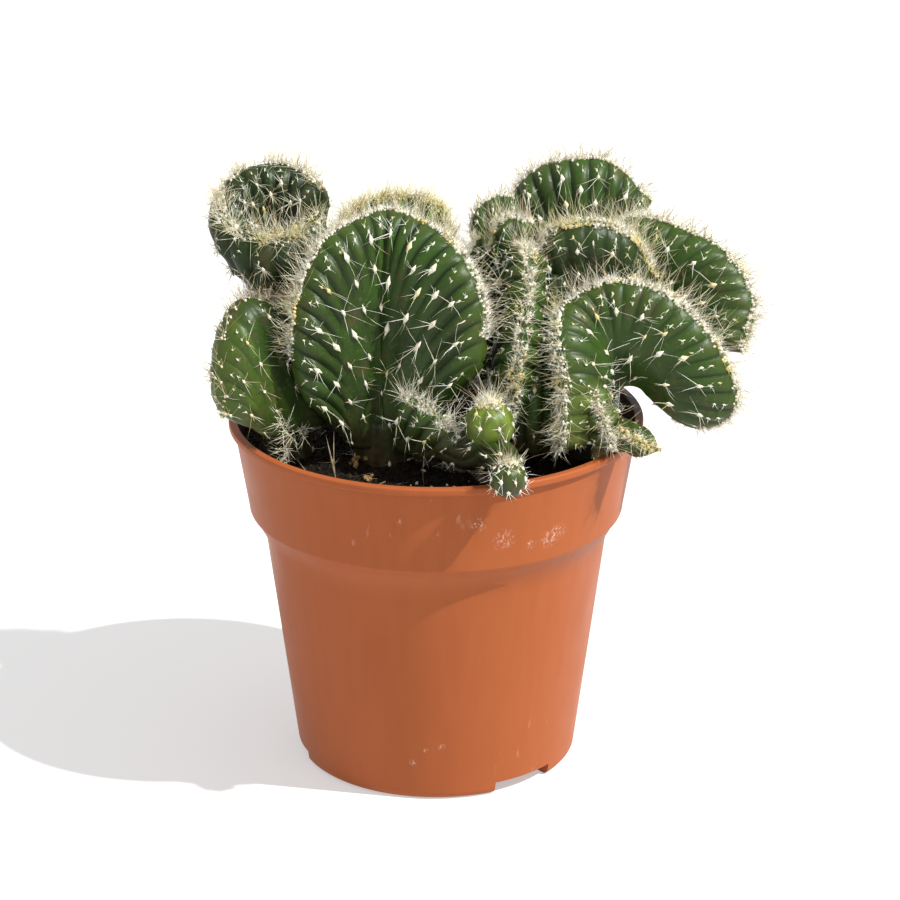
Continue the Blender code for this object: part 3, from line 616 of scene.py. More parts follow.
def blob_cloud(name, centres, longs, outs, sizes, rng, sides=5, smooth=True):
    """Many small uneven blobs in one mesh. sizes holds half the length, width and height of each."""
    shape = [(0.0, 0.0, 1.0)]
    for tilt in (pi / 3, 2 * pi / 3):
        shape += [(sin(tilt) * x, sin(tilt) * y, cos(tilt)) for x, y in circle(1.0, sides)]
    shape = np.array(shape + [(0.0, 0.0, -1.0)])
    wide = unit(np.cross(outs, longs))
    axes = np.stack([longs * sizes[:, :1], wide * sizes[:, 1:2], outs * sizes[:, 2:]], axis=1)
    size = len(shape)
    uneven = rng.uniform(0.75, 1.25, (len(centres), size, 1))
    points = centres[:, None] + np.einsum("pi,nij->npj", shape, axes) * uneven
    pattern = fan(range(1, sides + 1), 0) + shifted(grid_faces(2, sides), 1)
    pattern += fan(range(size - 1 - sides, size - 1), size - 1)
    return add_mesh(name, points.reshape(-1, 3), repeated(pattern, len(centres), size), smooth)


# Materials

class Look:
    """A material, put together by short calls. What a call returns goes into the next."""

    def __init__(self, name):
        self.material = bpy.data.materials.new(name)
        self.material.use_nodes = True
        self.tree = self.material.node_tree

    def feed(self, node, inputs):
        """Gives a node its inputs: numbers, colours, vectors or what other nodes give."""
        for key, value in inputs.items():
            socket = node.inputs[key]
            if isinstance(value, bpy.types.NodeSocket):
                self.tree.links.new(value, socket)
            elif isinstance(value, tuple) and len(socket.default_value) == 4:
                socket.default_value = (*value, 1.0)
            else:
                socket.default_value = value

    def shade(self, roughness, inputs):
        self.feed(self.tree.nodes["Principled BSDF"], {"Roughness": roughness} | inputs)
        return self

    def node(self, kind, inputs, **settings):
        made = self.tree.nodes.new("ShaderNode" + kind)
        for key, value in settings.items():
            setattr(made, key, value)
        self.feed(made, inputs)
        return made

    def place(self):
        """The object's own place, in metres."""
        return self.node("TexCoord", {}).outputs["Object"]

    def height(self):
        return self.node("SeparateXYZ", {"Vector": self.place()}).outputs["Z"]

    def noise(self, scale, detail=4.0, stretch=None):
        place = self.place()
        if stretch:
            place = self.node("Mapping", {"Vector": place, "Scale": stretch}).outputs["Vector"]
        return self.node("TexNoise", {"Vector": place, "Scale": scale, "Detail": detail}).outputs["Fac"]

    def reading(self, name):
        """A mark of the mesh."""
        return self.node("Attribute", {}, attribute_name=name).outputs["Fac"]

    def ramp(self, value, *stops):
        made = self.node("ValToRGB", {"Fac": value})
        elements = made.color_ramp.elements
        while len(elements) < len(stops):
            elements.new(0.5)
        for element, (place, color) in zip(elements, stops):
            element.position = place
            element.color = (*color, 1.0)
        return made.outputs["Color"]

    def remap(self, value, low, high, to_low=0.0, to_high=1.0):
        return self.node("MapRange", {"Value": value, "From Min": low, "From Max": high, "To Min": to_low,
                                      "To Max": to_high}).outputs["Result"]

    def patches(self, scale, detail, *ends):
        return self.remap(self.noise(scale, detail), *ends)

    def combine(self, operation, a, b=0.0):
        return self.node("Math", {0: a, 1: b}, operation=operation).outputs["Value"]

    def times(self, a, b):
        return self.combine("MULTIPLY", a, b)

    def plus(self, a, b):
        return self.combine("ADD", a, b)

    def coat(self, color, *layers):
        """A colour with others laid over it in turn, each by its share."""
        for share, other in layers:
            color = self.node("Mix", {0: share, 6: color, 7: other}, data_type="RGBA").outputs[2]
        return color

    def bump(self, value, strength, distance):
        inputs = {"Height": value, "Strength": strength, "Distance": distance}
        return {"Normal": self.node("Bump", inputs).outputs["Normal"]}


def skin_look():
    """Green plant skin: fresher at the growing edge, with painted shade darkening its furrows, corky near the
    soil.
    """
    look = Look("cactus_skin")
    depth = look.remap(look.reading("depth"), 0.0, 60.0)
    base = look.ramp(depth, (0.0, (0.042, 0.070, 0.009)), (0.1, (0.024, 0.046, 0.006)),
                     (0.4, (0.0155, 0.032, 0.005)), (1.0, (0.023, 0.033, 0.009)))
    fresh = look.reading("fresh")
    height = look.plus(look.height(), look.times(look.noise(160.0), 0.02))
    cork = look.times(look.remap(height, 0.124, 0.110), 0.8)
    brown = look.ramp(look.noise(500.0), (0.3, (0.030, 0.018, 0.009)), (0.7, (0.09, 0.06, 0.032)))
    color = look.coat(
        base,
        (look.patches(60.0, 4.0, 0.4, 0.65), (0.028, 0.066, 0.007)),
        (look.times(fresh, look.patches(130.0, 4.0, 0.38, 0.58, 0.45, 1.0)), (0.15, 0.21, 0.022)),
        # A fresh below zero darkens the green: painted shade on the curl and the mid fan, and a darker green
        # on most of the low lobe.
        (look.remap(fresh, 0.0, -1.0), (0.006, 0.013, 0.003)),
        (look.patches(210.0, 3.0, 0.56, 0.68, 0.0, 0.4), (0.075, 0.052, 0.02)),
        (look.patches(900.0, 2.0, 0.62, 0.75, 0.0, 0.3), (0.12, 0.17, 0.06)),
        # Painted shade: the furrows between the ribs are darkened.
        (look.reading("furrow_shade"), (0.004, 0.014, 0.002)),
        (cork, brown))
    return look.shade(0.42, {
        "Base Color": color, "Specular IOR Level": 0.25, "Subsurface Weight": 0.06,
        "Subsurface Radius": (0.3, 1.0, 0.2), "Subsurface Scale": 0.002,
    } | look.bump(look.noise(1500.0, 3.0), 0.2, 0.0003))


def yellow_zone(look):
    """Patches of the growing edges that are yellow, larger where the mark for it is higher."""
    more = look.times(look.reading("yellow"), 0.2)
    return look.remap(look.plus(look.noise(130.0, 2.0), more), 0.62, 0.72, 0.0, 0.75)


def felt_look():
    """Cream felt with yellow patches."""
    look = Look("cream_felt")
    base = look.ramp(look.noise(1200.0), (0.3, (0.68, 0.60, 0.41)), (0.65, (0.92, 0.89, 0.78)))
    color = look.coat(base, (yellow_zone(look), (0.74, 0.54, 0.13)))
    return look.shade(0.95, {"Base Color": color, "Sheen Weight": 0.3}
                      | look.bump(look.noise(3000.0, 2.0), 0.6, 0.0004))


def spine_look():
    """Thin pale spines, some straw-coloured and a few brown."""
    look = Look("spine")
    base = look.ramp(look.reading("tone"), (0.0, (0.92, 0.90, 0.82)), (0.3, (0.84, 0.77, 0.56)),
                     (0.6, (0.45, 0.36, 0.22)), (0.85, (0.24, 0.15, 0.08)), (1.0, (0.14, 0.055, 0.03)))
    color = look.coat(base, (yellow_zone(look), (0.68, 0.62, 0.30)))
    return look.shade(0.5, {"Base Color": color, "Subsurface Weight": 0.15, "Subsurface Scale": 0.001})


def grainy_look(name, roughness, scale, *stops):
    """A dull material that wavers between two colours."""
    look = Look(name)
    return look.shade(roughness, {"Base Color": look.ramp(look.noise(scale), *stops)})


def peat_look(name, dark, light):
    look = grainy_look(name, 0.9, 900.0, (0.35, dark), (0.75, light))
    return look.shade(0.9, {"Specular IOR Level": 0.15} | look.bump(look.noise(2500.0), 0.7, 0.0006))


def inner_radius(height):
    """The radius of the pot's inner wall at a height in its band."""
    return BAND_LOW_RADIUS - WALL + INNER_SLOPE * (height - BAND_LOW_HEIGHT)


def shade_inside_pot(look):
    """1 on the pot's inner wall and 0 outside it, from the place's distance to the pot's axis. It masks the
    painted shade of the inner wall.
    """
    *flat, height = look.node("SeparateXYZ", {"Vector": look.place()}).outputs
    x, y = (look.combine("SUBTRACT", value, float(start * MM)) for value, start in zip(flat, AXIS))
    radius = look.combine("SQRT", look.plus(look.times(x, x), look.times(y, y)))
    wall = look.plus(look.times(height, INNER_SLOPE), (inner_radius(0.0) + WALL / 4) * MM)
    inner = look.remap(look.combine("SUBTRACT", radius, wall), 0.0002, -0.0002)
    return look.times(inner, look.remap(height, 0.090, 0.092))


def top_of_lip(look):
    """1 on the top of the pot's lip and 0 on its outside."""
    return look.remap(look.height(), (POT_HEIGHT - LIP_ROUND) * MM, (POT_HEIGHT - 0.2 * LIP_ROUND) * MM)


def near_spot(look, angle, height, reach):
    """1 at a place on the pot's wall, falling to 0 that many millimetres from it."""
    out = np.interp(height, (0.0, NECK_HEIGHT, BAND_LOW_HEIGHT, POT_HEIGHT),
                    (BODY_LOW_RADIUS, NECK_RADIUS, BAND_LOW_RADIUS, BAND_TOP_RADIUS))
    spot = np.array((out * cos(radians(angle)), out * sin(radians(angle)), height)) + AXIS
    apart = look.node("VectorMath", {0: look.place(), 1: (spot * MM).tolist()}, operation="DISTANCE")
    return look.remap(apart.outputs["Value"], reach * MM, 0.3 * reach * MM)


def pot_look():
    """Moulded terracotta-coloured plastic with faint streaks and a few dusty scuffs, with painted shade on
    its inner wall and a painted shadow on part of its lip.
    """
    look = Look("terracotta_plastic")
    streaks = look.noise(40.0, 3.0, (6.0, 6.0, 0.6))
    base = look.ramp(streaks, (0.3, (0.31, 0.080, 0.024)), (0.7, (0.33, 0.087, 0.027)))
    scratches = look.remap(look.noise(330.0, 6.0, (1.0, 1.0, 0.35)), 0.62, 0.74)
    worn = look.times(scratches, look.patches(22.0, 2.0, 0.60, 0.68))
    specks = look.patches(1400.0, 3.0, 0.50, 0.66)
    dust = [look.times(near_spot(look, *spot), specks) for spot in SCUFFS]
    color = look.coat(
        base,
        (look.patches(28.0, 5.0, 0.45, 0.75, 0.0, 0.2), (0.35, 0.100, 0.034)),
        (look.times(worn, 0.3), (0.75, 0.60, 0.50)),
        *((look.times(spot, 0.3), (0.80, 0.66, 0.56)) for spot in dust),
        # Painted shadow on the top of the lip under the low fan's right lobe.
        (look.times(near_spot(look, *LIP_SHADOW_SPOT), top_of_lip(look)), (0.055, 0.036, 0.028)),
        # Painted shade: the inner wall near the rim is made dark brown.
        (shade_inside_pot(look), (0.035, 0.014, 0.009)))
    return look.shade(look.patches(60.0, 4.0, 0.3, 0.7, 0.36, 0.50), {
        "Base Color": color, "Specular IOR Level": 0.12,
    } | look.bump(look.noise(1800.0, 2.0), 0.05, 0.0002))


# Pot

def arc(centre, radius, start, end, steps):
    """Points on a round stretch of a profile, from one angle in degrees to another."""
    turns = np.radians(np.linspace(start, end, steps))
    return [(centre[0] + radius * cos(a), centre[1] + radius * sin(a)) for a in turns]


def pot_profile():
    """The closed profile of the pot, up its outside and down its inside."""
    floor = FOOT_HEIGHT + FLOOR_THICKNESS
    lip_low, lip_high = POT_HEIGHT - LIP_DROP, POT_HEIGHT - LIP_ROUND
    return [
        *arc((BODY_LOW_RADIUS - BASE_ROUND, BASE_ROUND), BASE_ROUND, -75, 0, 6),
        (NECK_RADIUS - 0.5, NECK_HEIGHT - 3.5),
        (NECK_RADIUS, NECK_HEIGHT),
        *arc((BAND_LOW_RADIUS - BAND_LOW_ROUND - 0.4, BAND_LOW_HEIGHT - 0.3), BAND_LOW_ROUND, -60, 5, 8),
        (BAND_TOP_RADIUS, lip_low - 0.2),
        (BAND_TOP_RADIUS + 0.5, lip_low),
        *arc((LIP_RADIUS - LIP_ROUND, lip_low + LIP_ROUND), LIP_ROUND, -60, 0, 4),
        *arc((LIP_RADIUS - LIP_ROUND, lip_high), LIP_ROUND, 0, 90, 6),
        *arc((LIP_INNER_RADIUS + LIP_ROUND, lip_high), LIP_ROUND, 90, 180, 6),
        (BAND_LOW_RADIUS - WALL, BAND_LOW_HEIGHT),
        (NECK_RADIUS - WALL, NECK_HEIGHT),
        (BODY_LOW_RADIUS - WALL, floor),
        (FLOOR_HOLE_RADIUS, floor),
        (FLOOR_HOLE_RADIUS, FOOT_HEIGHT),
        (FOOT_INNER_RADIUS, FOOT_HEIGHT),
        (FOOT_INNER_RADIUS, 0.0),
    ]


def turned(name, profile, sides):
    """A body turned round Z from a closed profile of radius and height."""
    size = len(profile)
    points = [(x * r, y * r, z) for x, y in circle(1.0, sides) for r, z in profile]
    faces = np.array(grid_faces(sides + 1, size)) % (sides * size)
    return add_mesh(name, points, faces.tolist())


def prism(outline, low, high):
    """An upright body with a flat outline, from one height to another."""
    size = len(outline)
    points = [(x, y, z) for z in (low, high) for x, y in outline]
    return points, grid_faces(2, size) + [tuple(range(size)), tuple(range(size, 2 * size))]


def pot_cutters():
    """The notches of the foot and the drain holes, in one mesh of separate bodies."""
    bodies = []
    for turn in np.radians(NOTCH_ANGLES):
        out, across = np.array(((cos(turn), sin(turn)), (-sin(turn), cos(turn))))
        outline = [(BASE_RADIUS + x * NOTCH_REACH) * out + y * NOTCH_WIDTH * across
                   for x, y in ((-0.5, -0.5), (0.5, -0.5), (0.5, 0.5), (-0.5, 0.5))]
        bodies.append(prism(outline, -NOTCH_HEIGHT, NOTCH_HEIGHT))
    for hole in circle(DRAIN_RING, DRAIN_HOLES):
        outline = hole + circle(DRAIN_RADIUS, DRAIN_SIDES)
        bodies.append(prism(outline, 0.0, 2 * (FOOT_HEIGHT + FLOOR_THICKNESS)))
    points, faces, _ = gather(bodies)
    return add_mesh("cutters", points, faces)


def make_pot():
    pot = turned("pot_shell", pot_profile(), POT_SIDES)
    cutters = pot_cutters()
    difference = pot.modifiers.new("cut", "BOOLEAN")
    difference.operation = "DIFFERENCE"
    difference.object = cutters
    difference.solver = "EXACT"
    bpy.context.view_layer.update()
    shape = bpy.data.meshes.new_from_object(pot.evaluated_get(bpy.context.evaluated_depsgraph_get()))
    pot.modifiers.clear()
    pot.data = shape
    bpy.data.objects.remove(cutters, do_unlink=True)
    pot.data.shade_smooth()
    pot.data.set_sharp_from_angle(angle=radians(SHARP_ANGLE))
    settle(pot, pot_look(), "terracotta_plastic", "pot")


# Soil

def soil_height(x, y):
    """The soil's height at a place: a low mound with lumps and crumbs."""
    radius = np.hypot(x, y)
    mound = SOIL_EDGE_HEIGHT + SOIL_CROWN * np.cos(np.minimum(1, radius / SOIL_RADIUS) * pi / 2)
    place = np.stack([x, y, 0 * x], axis=-1)
    return mound + sum(size * wander(place, length, seed) for size, length, seed in SOIL_LUMPS)


def make_soil(rng):
    """The soil's body with a crumbly top, and what lies loose on it."""
    outer = inner_radius(SOIL_EDGE_HEIGHT) - SOIL_CLEAR
    rings = int(outer / SOIL_CELL)
    loops = [circle(outer * ring / rings, SOIL_SIDES, 0.5 * (ring % 2)) for ring in range(1, rings + 1)]
    flat = np.vstack([(0.0, 0.0), *loops])
    top = np.column_stack([flat, soil_height(*flat.T)])
    top[1:-SOIL_SIDES] += rng.normal(0, SOIL_ROUGH, top[1:-SOIL_SIDES].shape)
    low = np.full(SOIL_SIDES, SOIL_EDGE_HEIGHT - SOIL_DEPTH)
    points = np.vstack([top, np.column_stack([SOIL_TAPER * loops[-1], low])])
    faces = fan(range(1, SOIL_SIDES + 1), 0) + shifted(grid_faces(rings + 1, SOIL_SIDES), 1)
    faces.append(tuple(range(len(top), len(points))))
    body = add_mesh("soil_body", points, faces)
    settle(body, peat_look("peat", (0.003, 0.002, 0.0015), (0.022, 0.014, 0.009)), "peat", "soil")
    outer -= LOOSE_MARGIN
    grain = peat_look("peat_grain", (0.004, 0.003, 0.002), (0.035, 0.022, 0.013))
    scatter_crumbs("soil_grains", grain, scatter(rng, GRAIN_COUNT, outer), (0.25, 0.9), (0.5, 1.2), rng)
    white = grainy_look("perlite", 0.9, 1500.0, (0.3, (0.45, 0.42, 0.36)), (0.7, (0.86, 0.84, 0.80)))
    places = scatter(rng, PERLITE_COUNT, outer) + (0, 0, DRY_LIFT)
    scatter_crumbs("perlite", white, places, (0.15, 0.7), (0.5, 1.4), rng)
    scatter_stalks(rng, outer)
    scatter_bark(rng)
    add_dead_pup(rng)


def scatter(rng, count, outer):
    """Random places on the soil's top and their heights."""
    radius = outer * np.sqrt(rng.uniform(0, 0.98, count))
    angle = rng.uniform(0, 2 * pi, count)
    x, y = radius * np.cos(angle), radius * np.sin(angle)
    return np.column_stack([x, y, soil_height(x, y)])


def random_axes(rng, count):
    longs = unit(rng.normal(size=(count, 3)))
    outs = unit(np.cross(longs, unit(rng.normal(size=(count, 3)))))
    return longs, outs


def scatter_crumbs(name, look, places, sizes, uneven, rng):
    """Loose crumbs with their half sizes in one range, times another for each of their three ways."""
    count = len(places)
    longs, outs = random_axes(rng, count)
    halves = rng.uniform(*sizes, (count, 1)) * rng.uniform(*uneven, (count, 3))
    settle(blob_cloud(name, places, longs, outs, halves, rng, smooth=False), look, "peat")


def scatter_stalks(rng, outer):
    """Short fibres that lie on the soil, and the dry stalks that stand in it."""
    places = scatter(rng, FIBRE_COUNT, outer) + (0, 0, DRY_LIFT)
    ways = unit(rng.normal(size=(FIBRE_COUNT, 3)) * (1, 1, 0.25))
    fibres = [(place, way, rng.uniform(2.0, 7.0), rng.uniform(0.08, 0.2), 0.8, 0.0)
              for place, way in zip(places, ways)]
    for low, high, radius in DRY_STALKS:
        way = np.subtract(high, low).astype(float)
        fibres.append((low, unit(way), np.linalg.norm(way), radius, 0.5, 0.0))
    straw = grainy_look("dry_stalk", 0.8, 700.0, (0.3, (0.10, 0.07, 0.04)), (0.7, (0.36, 0.28, 0.17)))
    settle(needle_cloud("soil_fibres", fibres, 1), straw, "peat")


def scatter_bark(rng):
    """A few light crumbs of bark, each of several pieces."""
    places, sizes = [], []
    for place, size in BARK_CRUMBS:
        for _ in range(BARK_PIECES):
            places.append(np.array(place) + rng.normal(0, 0.55 * size, 3) * (1, 1, 0.4))
            sizes.append(size * rng.uniform(0.25, 0.55, 3))
    longs, outs = random_axes(rng, len(places))
    bark = blob_cloud("bark_crumbs", np.array(places), longs, outs, np.array(sizes), rng, smooth=False)
    settle(bark, peat_look("bark", (0.16, 0.085, 0.035), (0.42, 0.27, 0.12)), "peat")


def add_dead_pup(rng):
    """Dry tufts of spines where a small pup has died, leaning out to the left."""
    needles = []
    for place in DEAD_PUP:
        for _ in range(DEAD_TUFT):
            way = unit(rng.normal(size=3) + (-0.5, -0.7, 0.15))
            root = np.array(place) + rng.normal(0, 0.9, 3)
            needles.append((root, way, rng.uniform(2.0, 8.5), rng.uniform(0.06, 0.11),
                            rng.uniform(0.1, 0.5), 0.0))
    settle(needle_cloud("dead_pup_spines", needles, 1), spine_look(), "cream_wool")


# Plant

def is_inside(point, tree):
    way = Vector((0.31, 0.17, 0.94))
    start, hits = Vector(point), 0
    while True:
        where = tree.ray_cast(start, way)[0]
        if where is None:
            return hits % 2 == 1
        hits += 1
        start = where + way * 1e-3


def face_areoles(crest):
    """The areoles on both faces of a crest: place, way out, way along, size and style of each."""
    found = []
    for face in (1, -1):
        for station, depth in crest.areoles[face]:
            points, out, reach, _, share = crest.skin_at(depth, face)
            size = crest.style["areole"] * (0.55 + 0.45 * soft_step(share[station], 0.15, 0.6))
            tone = crest.style["tone"] + crest.style["deep_tone"] * (1 - share[station])
            found.append((points[station], out[station], reach[station], size, crest.style | dict(tone=tone)))
    return found


def young_areoles(crest, rng):
    """Small areoles just below the woolly edge, on each rib of both faces."""
    found = []
    style = crest.style | dict(oval=2.0, crowd=0)
    for face in (1, -1):
        for depth in YOUNG_DEPTHS:
            points, out, reach, _, _ = crest.skin_at(depth, face)
            for rib in range(crest.ribs):
                i = rib * RIB_SAMPLES + RIB_SAMPLES // 2 + rng.integers(-1, 2)
                found.append((points[i], out[i], reach[i], YOUNG_SIZE * style["areole"], style))
    return found


def edge_tufts(crest, rng):
    """Close-set tufts along the growing edge."""
    length = float(steps_of(crest.edge).sum())
    rows = {(face, depth): crest.skin_at(depth, face) for face in (1, -1) for depth in TUFT_DEPTHS}
    depths = np.array(TUFT_DEPTHS)
    chance = np.exp(-0.5 * (depths / crest.style["spread"]) ** 2) * np.gradient(depths)
    chance /= chance.sum()
    bare_start, bare_end = crest.style["bare"]
    clusters = round(length / crest.style["apart"])
    found = []
    for _ in range(round(length / TUFT_EVERY * crest.style["wool"])):
        face, depth = rng.choice((1, -1)), rng.choice(TUFT_DEPTHS, p=chance)
        at = (rng.integers(0, clusters) + 0.5 + rng.normal(0, 0.25)) / clusters
        if not bare_start < at < 1 - bare_end:
            continue
        points, out, reach, _, _ = rows[face, depth]
        i = min(crest.count - 1, max(0, round(at * (crest.count - 1))))
        share = float(round_off(depth, EDGE_ROUND * crest.half))
        way = unit(reach[i] * (1 - share) + out[i] * share)
        found.append((points[i] + rng.normal(0, 0.2, 3), way, reach[i], 1.0, crest.style))
    return found


def stem_areoles(points, radii, tone):
    style = USUAL | dict(tone=tone, spines=(3.0, 8.0))
    line = smooth_line(points, 200)
    given = np.linspace(0, 1, len(radii))
    length = float(steps_of(line).sum())
    found = []
    for row in range(1, int(length / STEM_AREOLE_STEP) + 1):
        i = min(199, round(200 * row * STEM_AREOLE_STEP / length))
        radius = np.interp(i / 199, given, radii)
        ahead, side, up = (ways[i] for ways in stem_axes(line))
        for k in range(row % 2, STEM_RIBS, 2):
            turn = 2 * pi * (k + 0.5) / STEM_RIBS
            out = cos(turn) * side + sin(turn) * up
            place = line[i] + out * (radius + 0.4 * STEM_RIB)
            found.append((place, out, ahead, STEM_AREOLE_SIZE, style))
    return found


def pup_areoles(centre, radius, _):
    """Areoles in rings round a ball."""
    found = []
    style = USUAL | dict(oval=1.0, tone=0.0, spines=(2.0, 6.0))
    for row, tilt in enumerate(PUP_AREOLE_TILTS):
        flat, rise = cos(radians(tilt)), sin(radians(tilt))
        for x, y in circle(1.0, STEM_RIBS, 0.5 * (row % 2)):
            out = np.array((flat * x, flat * y, rise))
            way = np.array((-rise * x, -rise * y, flat))
            found.append((centre + out * radius, out, way, STEM_AREOLE_SIZE, style))
    return found


def pup_tufts(centre, radius, fresh, rng):
    """Close-set tufts on the top of a ball."""
    found = []
    fuzz, hair = (1.5, 3.0 + fresh), (3.0, 5.0 + 2.0 * fresh)
    style = USUAL | dict(tone=0.4 * (1 - fresh), fuzz=fuzz, hair=hair)
    for _ in range(round(50 + 60 * fresh)):
        tilt, turn = radians(90 - 32 * rng.uniform(0, 1) ** 0.7), rng.uniform(0, 2 * pi)
        out = np.array((cos(tilt) * cos(turn), cos(tilt) * sin(turn), sin(tilt)))
        way = np.array((-sin(turn), cos(turn), 0.0))
        found.append((centre + out * radius, out, way, 1.0, style))
    return found


def tone_of(style, rng, more=0.0):
    return float(np.clip(rng.normal(style["tone"] + more, 0.15), 0, 1))


def leaning(out, along, turn, tilt):
    """A way that leans that far from the way out, and to which side."""
    across = unit(np.cross(out, along))
    level = np.cross(across, out)
    return cos(tilt) * out + sin(tilt) * (cos(turn) * level + sin(turn) * across)


def areole_spines(place, out, reach, size, style, rng):
    """A few uneven spines that lean far out, most of them up or down along the rib."""
    low, high = style["spines"]
    made = []
    for _ in range(rng.integers(3, 5 + round(2 * size)) + style["crowd"]):
        turn = rng.choice((0, pi)) + rng.normal(0, 0.75)
        way = leaning(out, reach, turn, radians(rng.uniform(20, 86)))
        length = (low + (high - low) * rng.uniform() ** 1.3) * min(1.0, size) ** 1.5
        made.append((place, way, length, rng.uniform(*SPINE_RADII), tone_of(style, rng), style["yellow"]))
    return made


def tuft_spines(place, out, reach, style, rng, count, lengths, widest, radius, more=0.0):
    """Fine spines that spread from the growing edge."""
    made = []
    for _ in range(count):
        turn, tilt = rng.uniform(0, 2 * pi), radians(rng.uniform(5, widest))
        way = leaning(out, reach + 0.01, turn, tilt)
        made.append((place, way, rng.uniform(*lengths), radius * rng.uniform(0.8, 1.2),
                     tone_of(style, rng, more), style["yellow"]))
    return made


def in_the_pot(point):
    """True for a place inside the soil or the pot's wall."""
    radius = float(np.hypot(point[0], point[1]))
    if radius < LIP_RADIUS + 0.3 and point[2] < POT_HEIGHT + 0.3 and radius > BAND_TOP_RADIUS - WALL - 2.0:
        return True
    return radius < SOIL_RADIUS and point[2] < SOIL_EDGE_HEIGHT + 1.5


def keep_free(sites, trees):
    """The sites that aren't in the pot or inside another of the plant's bodies."""
    kept = []
    for owner, place, out, *rest in sites:
        outside = place + 0.8 * out
        if in_the_pot(outside):
            continue
        if any(is_inside(outside, tree) for i, tree in enumerate(trees) if i != owner):
            continue
        kept.append((place, out, *rest))
    return kept


def clear_of_pot(needles):
    return [n for n in needles if not any(in_the_pot(n[0] + n[1] * n[2] * share) for share in (0.5, 1.0))]


def clump_sites(clump, crests, number, rng):
    """The areoles and the tufts of a clump, each with the number of the body that it is on."""
    areoles, tufts = [], []
    for owner, crest in enumerate(crests, start=number):
        areoles += [(owner, *site) for site in face_areoles(crest) + young_areoles(crest, rng)]
        tufts += [(owner, *site) for site in edge_tufts(crest, rng)]
    for owner, stem in enumerate(clump["stems"], start=number + len(crests)):
        areoles += [(owner, *site) for site in stem_areoles(*stem)]
    for owner, pup in enumerate(clump["pups"], start=number + len(crests) + len(clump["stems"])):
        areoles += [(owner, *site) for site in pup_areoles(*pup)]
        tufts += [(owner, *site) for site in pup_tufts(*pup, rng)]
    return areoles, tufts


def add_felt(name, areoles, tufts, bands, look, rng):
    """The felt of the areoles and of the growing edges."""
    places, outs, longs, scales, styles = zip(*areoles, *tufts)
    outs, longs = np.array(outs), np.array(longs)
    centres = np.array(places) + 0.1 * outs
    longs = unit(longs - (longs * outs).sum(axis=1, keepdims=True) * outs)
    sizes = [(site[4]["oval"], *AREOLE_FELT) for site in areoles] + [TUFT_FELT] * len(tufts)
    sizes = np.array(sizes) * (rng.uniform(0.75, 1.2, (len(sizes), 1)) * np.array(scales)[:, None])
    yellow = np.array([style["yellow"] for style in styles])
    split = len(areoles)
    for label, part, sides, nodes in (("areoles", slice(split), 4, ()),
                                      ("felt", slice(split, None), 5, bands)):
        felt = blob_cloud(f"{label}_{name}", centres[part], longs[part], outs[part], sizes[part], rng, sides)
        mark(felt, "yellow", np.repeat(yellow[part], len(felt.data.vertices) // len(yellow[part])))
        settle(felt, look, "cream_wool", *nodes)


def make_clump(name, clump, bodies, looks, trees, number, rng):
    """The skin, felt and spines of a clump."""
    points, faces, marks = gather(bodies)
    skin = add_mesh(f"skin_{name}", points, faces)
    for label, values in zip(("furrow_shade", "depth", "fresh"), marks):
        mark(skin, label, values)
    settle(skin, looks["skin"], "cactus_skin", f"cactus_{name}")
    crests = [Crest(shape) for shape in clump["crests"].values()]
    areoles, tufts = (keep_free(sites, trees) for sites in clump_sites(clump, crests, number, rng))
    spines, fuzz = [], []
    for site in areoles:
        spines += areole_spines(*site, rng)
    for place, out, reach, _, style in tufts:
        given = (place, out, reach, style, rng)
        fuzz += tuft_spines(*given, style["fuzz_count"], style["fuzz"], FUZZ_WIDEST, FUZZ_RADIUS)
        hairs, wisps = int(style["hairs"] + rng.uniform()), int(WISP_SHARE + rng.uniform())
        # Hairs and wisps take a darker tone: painted shade over their own straw colour.
        spines += tuft_spines(*given, hairs, style["hair"], style["widest"], HAIR_RADIUS, HAIR_SHADE_TONE)
        spines += tuft_spines(*given, wisps, WISP_LENGTHS, WISP_WIDEST, FUZZ_RADIUS, WISP_SHADE_TONE)
    for label, needles, joints in (("spines", spines, 1), ("fuzz", fuzz, 0)):
        cloud = needle_cloud(f"{label}_{name}", clear_of_pot(needles), joints)
        settle(cloud, looks["spine"], "cream_wool")
    bands = [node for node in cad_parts
             if any(node.startswith(f"wool_{label}_") for label in clump["crests"])]
    add_felt(name, areoles, tufts, bands, looks["felt"], rng)


def clump_bodies(clump):
    bodies = [Crest(shape).mesh() for shape in clump["crests"].values()]
    bodies += [stem_mesh(points, radii) for points, radii, _ in clump["stems"]]
    return bodies + [stem_mesh(*pup_line(*pup[:2]), PUP_STEP, PUP_RIB, pup[2]) for pup in clump["pups"]]


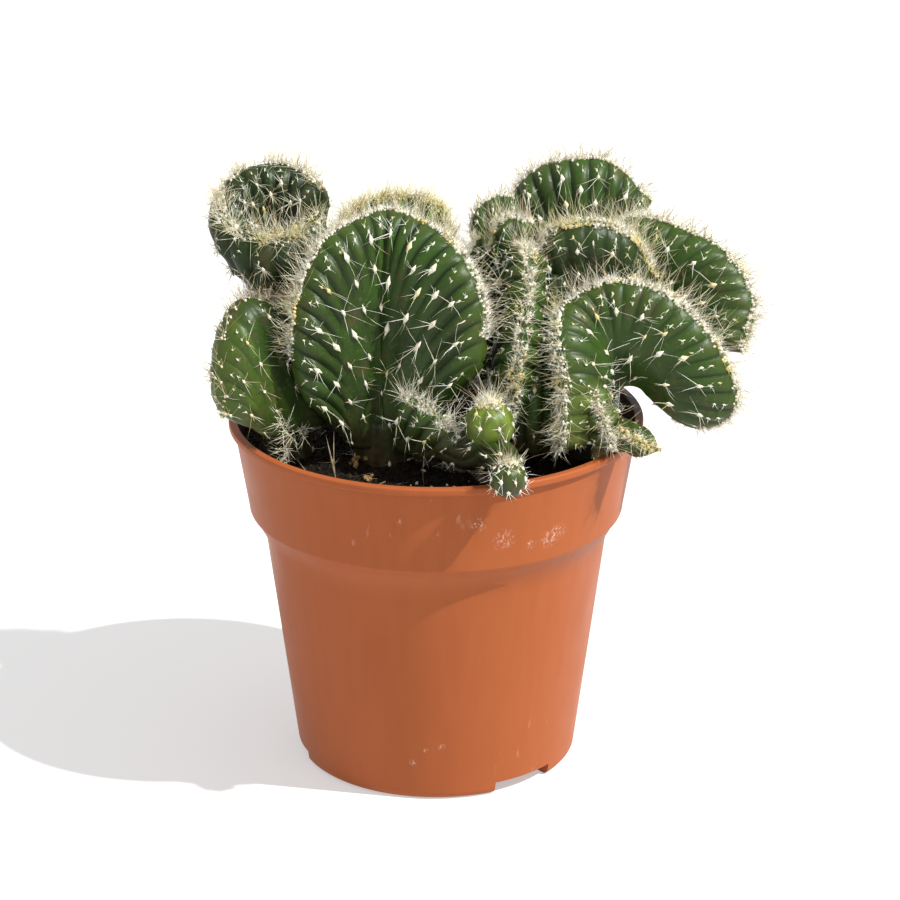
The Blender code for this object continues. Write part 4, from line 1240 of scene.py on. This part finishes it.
def make_plant():
    looks = {"skin": skin_look(), "felt": felt_look(), "spine": spine_look()}
    rng = np.random.default_rng(SEED)
    bodies = {name: clump_bodies(clump) for name, clump in CLUMPS.items()}
    trees = [BVHTree.FromPolygons(points.tolist(), faces)
             for points, faces, *_ in sum(bodies.values(), [])]
    number = 0
    for name, clump in CLUMPS.items():
        make_clump(name, clump, bodies[name], looks, trees, number, rng)
        number += len(bodies[name])


# Stage

def make_stage():
    corners = [(x * FLOOR_HALF, y * FLOOR_HALF, 0) for x, y in ((-1, -1), (1, -1), (1, 1), (-1, 1))]
    floor = add_mesh("floor", corners, [(0, 1, 2, 3)])
    look = Look("floor").shade(0.9, {
        "Base Color": (0.50, 0.50, 0.50), "Emission Color": (1.0, 1.0, 1.0),
        "Emission Strength": FLOOR_GLOW, "Specular IOR Level": 0.1})
    floor.data.materials.append(look.material)
    world = bpy.data.worlds.new("studio")
    bpy.context.scene.world = world
    world.use_nodes = True
    sky = world.node_tree.nodes["Background"]
    sky.inputs["Color"].default_value = (1.0, 1.0, 1.0, 1.0)
    sky.inputs["Strength"].default_value = SKY_STRENGTH
    sun = bpy.data.lights.new("key", "SUN")
    sun.energy = SUN_STRENGTH
    sun.angle = radians(SUN_SPREAD)
    sun.color = SUN_COLOR
    add_object("key", sun).rotation_euler = Vector(SUN_WAY).to_track_quat("Z", "Y").to_euler()


def make_camera():
    camera = bpy.data.cameras.new("camera")
    camera.sensor_width = SENSOR
    camera.lens = CAMERA_LENS
    camera.clip_start = 0.01
    made = add_object("camera", camera)
    tilt = radians(CAMERA_ELEVATION)
    aim = Vector(np.array(CAMERA_AIM) + AXIS) * MM
    back = Vector((0.0, -cos(tilt), sin(tilt)))
    made.location = aim + back * CAMERA_DISTANCE * MM
    made.rotation_euler = back.to_track_quat("Z", "Y").to_euler()
    bpy.context.scene.camera = made


def main():
    bpy.context.scene.view_settings.view_transform = "Standard"
    make_camera()
    make_stage()
    make_pot()
    make_soil(np.random.default_rng(SEED + 1))
    make_plant()


main()
